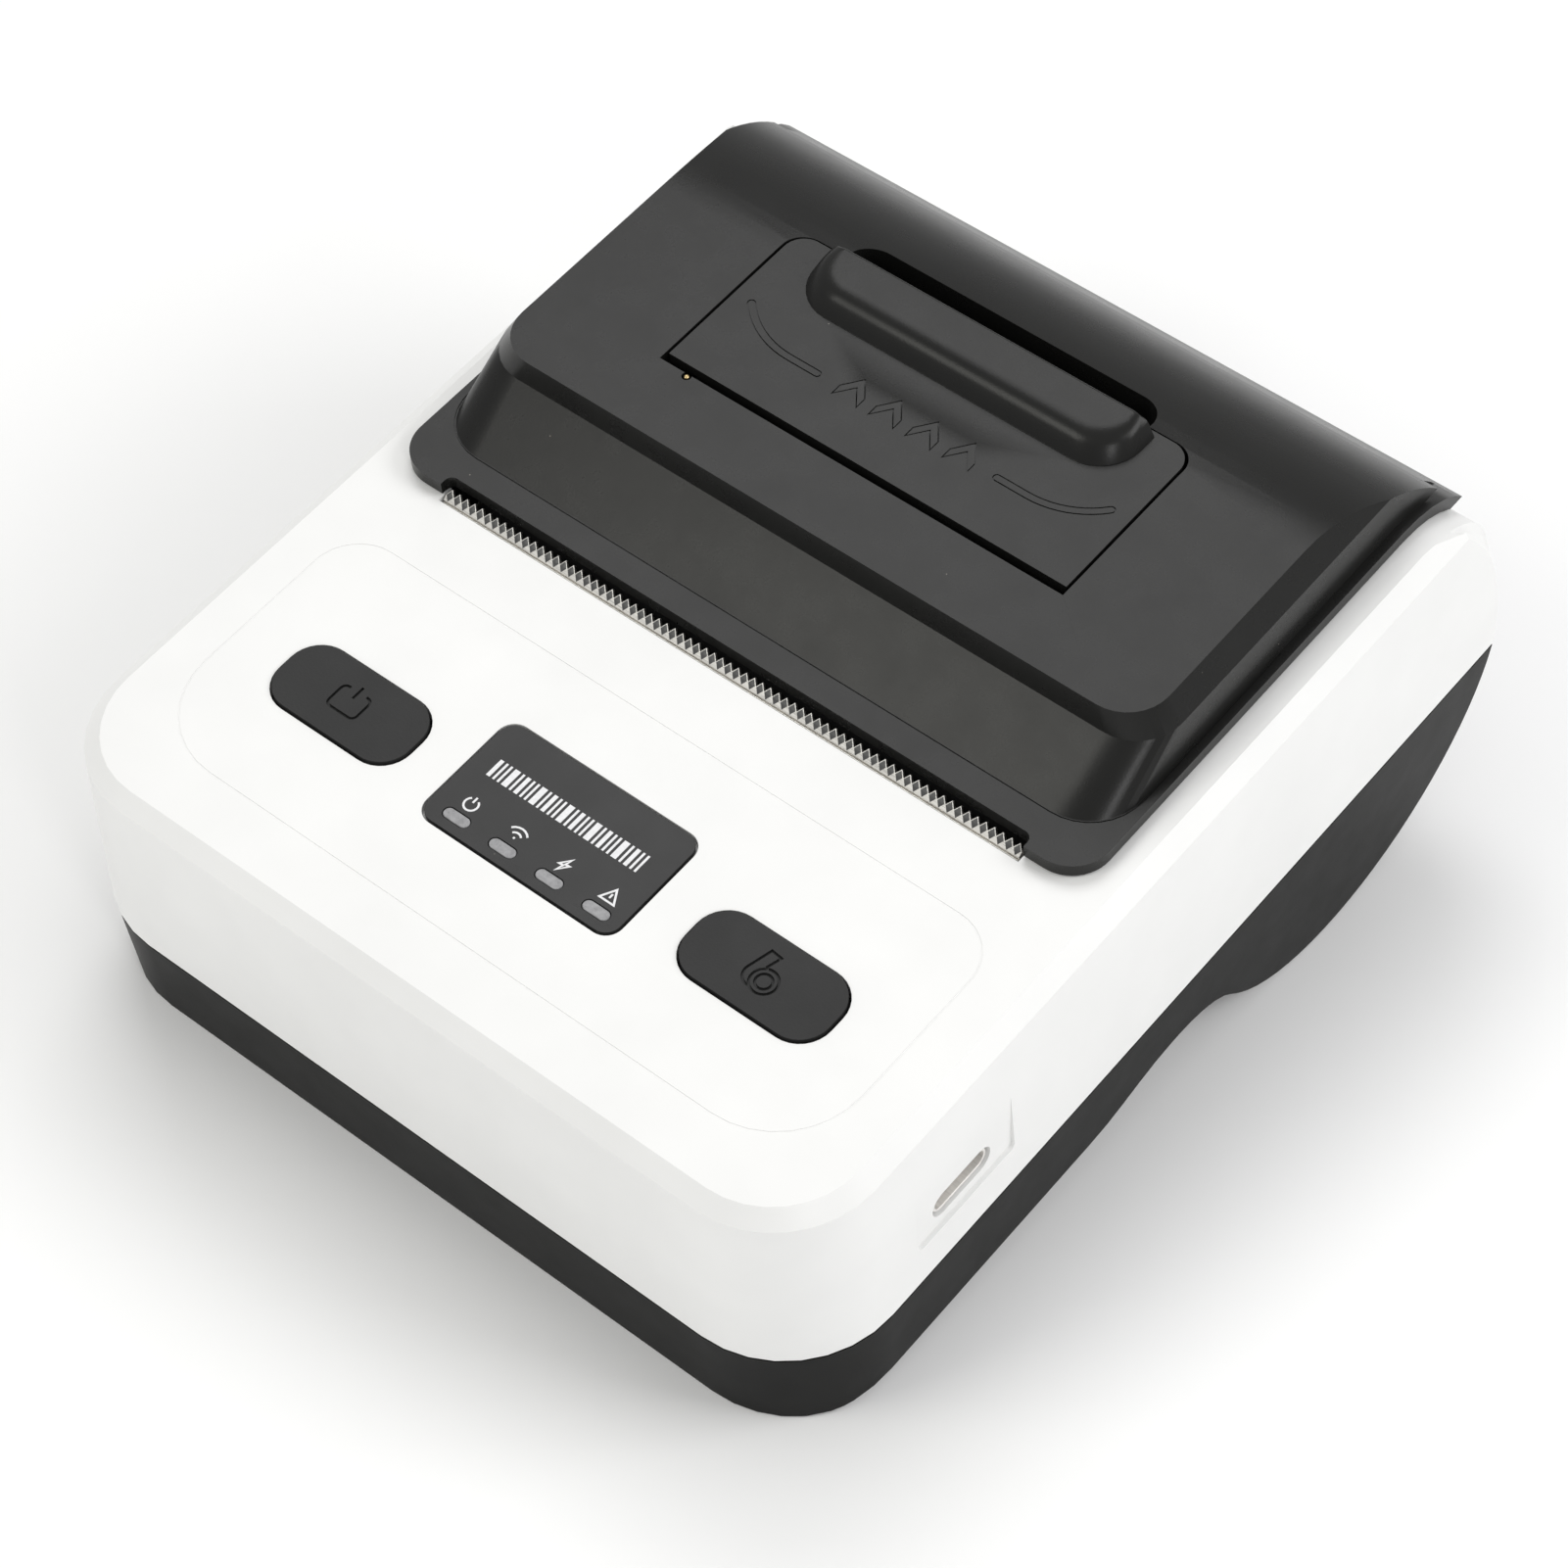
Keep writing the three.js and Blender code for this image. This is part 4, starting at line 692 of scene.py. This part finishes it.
# The crease where the dome meets the lip, up to leftEndY and rightEndY along the dome's sides.
DOME_FOOT = {"halfX": 47.95, "frontY": 60.05, "leftEndY": 80, "rightEndY": 92, "r": 7.1, "z": 28}
CREASE = {"width": 0.16, "depth": 0.12}
WIRE_END = {"x": -24.2, "y": 78.5, "z": 36.25, "r": 0.35}
NOTCH = {"room": 0.25, "depth": 0.75}


def dome_foot():
    """Cutter for the crease line round the dome's foot."""
    half, r, z = (DOME_FOOT[key] for key in ("halfX", "r", "z"))
    corner_y = DOME_FOOT["frontY"] + r
    line_points = [(-half, DOME_FOOT["leftEndY"])]
    line_points += arc(r - half, corner_y, r, 180, 270, 8) + arc(half - r, corner_y, r, 270, 360, 8)
    line_points.append((half, DOME_FOOT["rightEndY"]))
    return stroke(line_points, CREASE["width"], z - CREASE["depth"], z + PAST)


def wire_notch():
    """Cutter for the round notch in which the spring wire's end shows."""
    outline = circle(WIRE_END["x"], WIRE_END["y"], WIRE_END["r"] + NOTCH["room"], 16)
    return prism(outline, WIRE_END["z"] - NOTCH["depth"], WIRE_END["z"] + PAST)


skin("paper_cover", "cover", "black_cover", 0.2, [dome_foot(), wire_notch()], from_angle=14)

LATCH_TOP = 36.5
LATCH_SIGN = {"width": 0.16, "depth": 0.14}
flourish = capsule([(12.7, 87.6)] + arc(16.8, 99.2, 11.6, -90, -42, 10), 0.9)
CHEVRON = {"first": -7.8, "pitch": 5.2, "count": 4, "y": 86.3, "halfX": 1.75, "rise": 2.3, "bar": 1.5}


def chevron(x):
    """Outline of an arrow head that points at the grip bar."""
    y, half, rise, bar = (CHEVRON[key] for key in ("y", "halfX", "rise", "bar"))
    lower = [(x - half, y), (x, y + rise), (x + half, y)]
    return lower + [(px, py + bar) for px, py in reversed(lower)]


arrows = [loop(chevron(CHEVRON["first"] + i * CHEVRON["pitch"])) for i in range(CHEVRON["count"])]
latch_signs = bars(
    [loop(flourish), loop(mirrored(flourish))] + arrows,
    LATCH_SIGN["width"],
    LATCH_TOP - LATCH_SIGN["depth"],
    LATCH_TOP + PAST,
)
# The grip bar's top edges lie above this height, and are rounded with this radius.
GRIP_TOP_EDGES = (39, 0.9)
skin("cover_latch", "latch", "black_cover", 0.25, [join(latch_signs, "latch_signs")], top=GRIP_TOP_EDGES)

# ---------------------------------------------------------------- tear bar

# As in the CAD source: above its bend the blade leans back over the paper slot.
TEAR_BAR = {"half": 41, "teeth": 72, "bendY": 54.8, "bendZ": 25.45, "thickness": 0.5, "lean": math.radians(45)}
FACET = {"middle": 0.76, "halfWidth": 0.46, "halfHeight": 0.66, "above": 0.03, "below": 0.05, "crown": 0.06}


def facets():
    """The blade's coined diamonds, one to a tooth: low pyramids a hair above it, dark as painted shade of coined
    hollows.
    """
    bm = bmesh.new()
    pitch = 2 * TEAR_BAR["half"] / TEAR_BAR["teeth"]
    middle, wide, high = FACET["middle"], FACET["halfWidth"], FACET["halfHeight"]
    top, bottom = TEAR_BAR["thickness"] + FACET["above"], TEAR_BAR["thickness"] - FACET["below"]
    for i in range(TEAR_BAR["teeth"]):
        x = -TEAR_BAR["half"] + (i + 0.5) * pitch
        rim = [(x + wide, middle), (x, middle + high), (x - wide, middle), (x, middle - high)]
        low = [bm.verts.new((px, py, bottom)) for px, py in rim]
        upper = [bm.verts.new((px, py, top)) for px, py in rim]
        crown = bm.verts.new((x, middle, top + FACET["crown"]))
        bm.faces.new(reversed(low))
        for k in range(4):
            j = (k + 1) % 4
            bm.faces.new((low[k], low[j], upper[j], upper[k]))
            bm.faces.new((upper[k], upper[j], crown))
    place = Matrix.Translation((0, TEAR_BAR["bendY"], TEAR_BAR["bendZ"])) @ Matrix.Rotation(TEAR_BAR["lean"], 4, "X")
    bm.transform(place)
    return in_row_frame(object_from(bm, "tear_bar_facets_painted_shade"))


skin("tear_bar", "housing", "steel", 0.05, from_angle=30, material="tear_bar_steel")
# The facets wear the dark steel as painted shade, where the hollows of the coining would be shaded.
finish_piece(facets(), "housing", MATERIALS["coined_steel_painted_shade"])

# ---------------------------------------------------------------- spring wire end


def wire_end():
    """The bent end of the latch spring, a small bead of wire in a notch before the flap."""
    bm = bmesh.new()
    bmesh.ops.create_uvsphere(bm, u_segments=16, v_segments=10, radius=WIRE_END["r"])
    bmesh.ops.translate(bm, vec=[WIRE_END[axis] for axis in "xyz"], verts=bm.verts)
    bead = in_row_frame(object_from(bm, "latch_spring_wire_end"))
    shade(bead, weighted=False)
    finish_piece(bead, "cover", MATERIALS["brass"])


wire_end()

# ---------------------------------------------------------------- paper roll

# The paper winds in by "spiral" in one turn, and its end faces have ridges of "ridge", both in millimetres.
ROLL = {"steps": 128, "loose_end": math.radians(130), "spiral": 0.14, "ridges": 15, "ridge": 0.07, "room": 0.1}


def wound_roll():
    """Paper wound in a spiral that ends in a small step, its turns a little uneven at the two end faces."""
    low, high = body_box("paper_roll")
    mid_y, mid_z = (low.y + high.y) / 2, (low.z + high.z) / 2
    outer = (high.y - low.y) / 2
    core_low, core_high = body_box("paper_core")
    inner = (core_high.y - core_low.y) / 2 + ROLL["room"]
    bm = bmesh.new()
    rings = []
    for i in range(ROLL["steps"]):
        turn = i / (ROLL["steps"] - 1)
        edge = outer - ROLL["spiral"] * turn
        radii = [inner + (edge - inner) * k / ROLL["ridges"] for k in range(ROLL["ridges"] + 1)]
        right = [(high.x - ROLL["ridge"] * (k % 2), r) for k, r in enumerate(radii)]
        left = [(low.x + ROLL["ridge"] * (k % 2), r) for k, r in enumerate(radii)]
        angle = ROLL["loose_end"] + 2 * math.pi * i / ROLL["steps"]
        ring = [(x, mid_y + r * math.cos(angle), mid_z + r * math.sin(angle)) for x, r in left + right[::-1]]
        rings.append([bm.verts.new(point) for point in ring])
    for i, ring in enumerate(rings):
        following = rings[(i + 1) % len(rings)]
        for k in range(len(ring)):
            j = (k + 1) % len(ring)
            bm.faces.new((ring[k], ring[j], following[j], following[k]))
    bmesh.ops.recalc_face_normals(bm, faces=bm.faces)
    return in_row_frame(object_from(bm, "wound_paper"))


roll = wound_roll()
shade(roll)
finish_piece(roll, "roll", MATERIALS["paper"], ["paper_roll"])

# ---------------------------------------------------------------- fasteners and the parts inside

# The radius of each one's edges, in millimetres; gear teeth keep theirs sharp.
ROUNDED = {
    "usb_port": 0.08,
    "battery_door_screw_left": 0.15,
    "battery_door_screw_right": 0.15,
    "case_screw_front_left": 0.15,
    "case_screw_front_right": 0.15,
    "case_screw_rear_left": 0.15,
    "case_screw_rear_right": 0.15,
    "platen_roller": 0.3,
    "platen_shaft": 0.1,
    "platen_gear": 0,
    "platen_bush_left": 0.1,
    "platen_bush_right": 0.1,
    "platen_bracket_left": 0.2,
    "platen_bracket_right": 0.2,
    "reduction_gear": 0,
    "motor_pinion": 0,
    "gear_post": 0.1,
    "stepper_motor": 0.2,
    "mechanism_frame": 0.15,
    "thermal_head": 0.1,
    "heat_sink": 0.1,
    "paper_bin": 0.2,
    "paper_core": 0.1,
    "paper_sensor": 0.15,
    "latch_keeper_left": 0.15,
    "latch_keeper_right": 0.15,
    "latch_hook_left": 0.15,
    "latch_hook_right": 0.15,
    "latch_shaft": 0.1,
    "cover_hinge_pin_left": 0.15,
    "cover_hinge_pin_right": 0.15,
    "battery_pack": 0.6,
}
BODY_OF = {node: body for body, nodes in frame["record"]["behaviour"]["bodies"].items() for node in nodes}
SLOTS = {row["node"]: row["material_slot"] for row in frame["record"]["subparts"]}
# The socket's own metal is lighter than the steel of its slot.
OWN_MATERIAL = {"usb_port": "port_metal"}
for node, radius in ROUNDED.items():
    skin(node, BODY_OF[node], SLOTS[node], radius, material=OWN_MATERIAL.get(node))

# The CAD nodes that no piece stands for are shown as they are.
for name, node in NODES.items():
    if not node.hide_render:
        dress(node, MATERIALS[SLOTS[name]])
        shade(node, weighted=False)
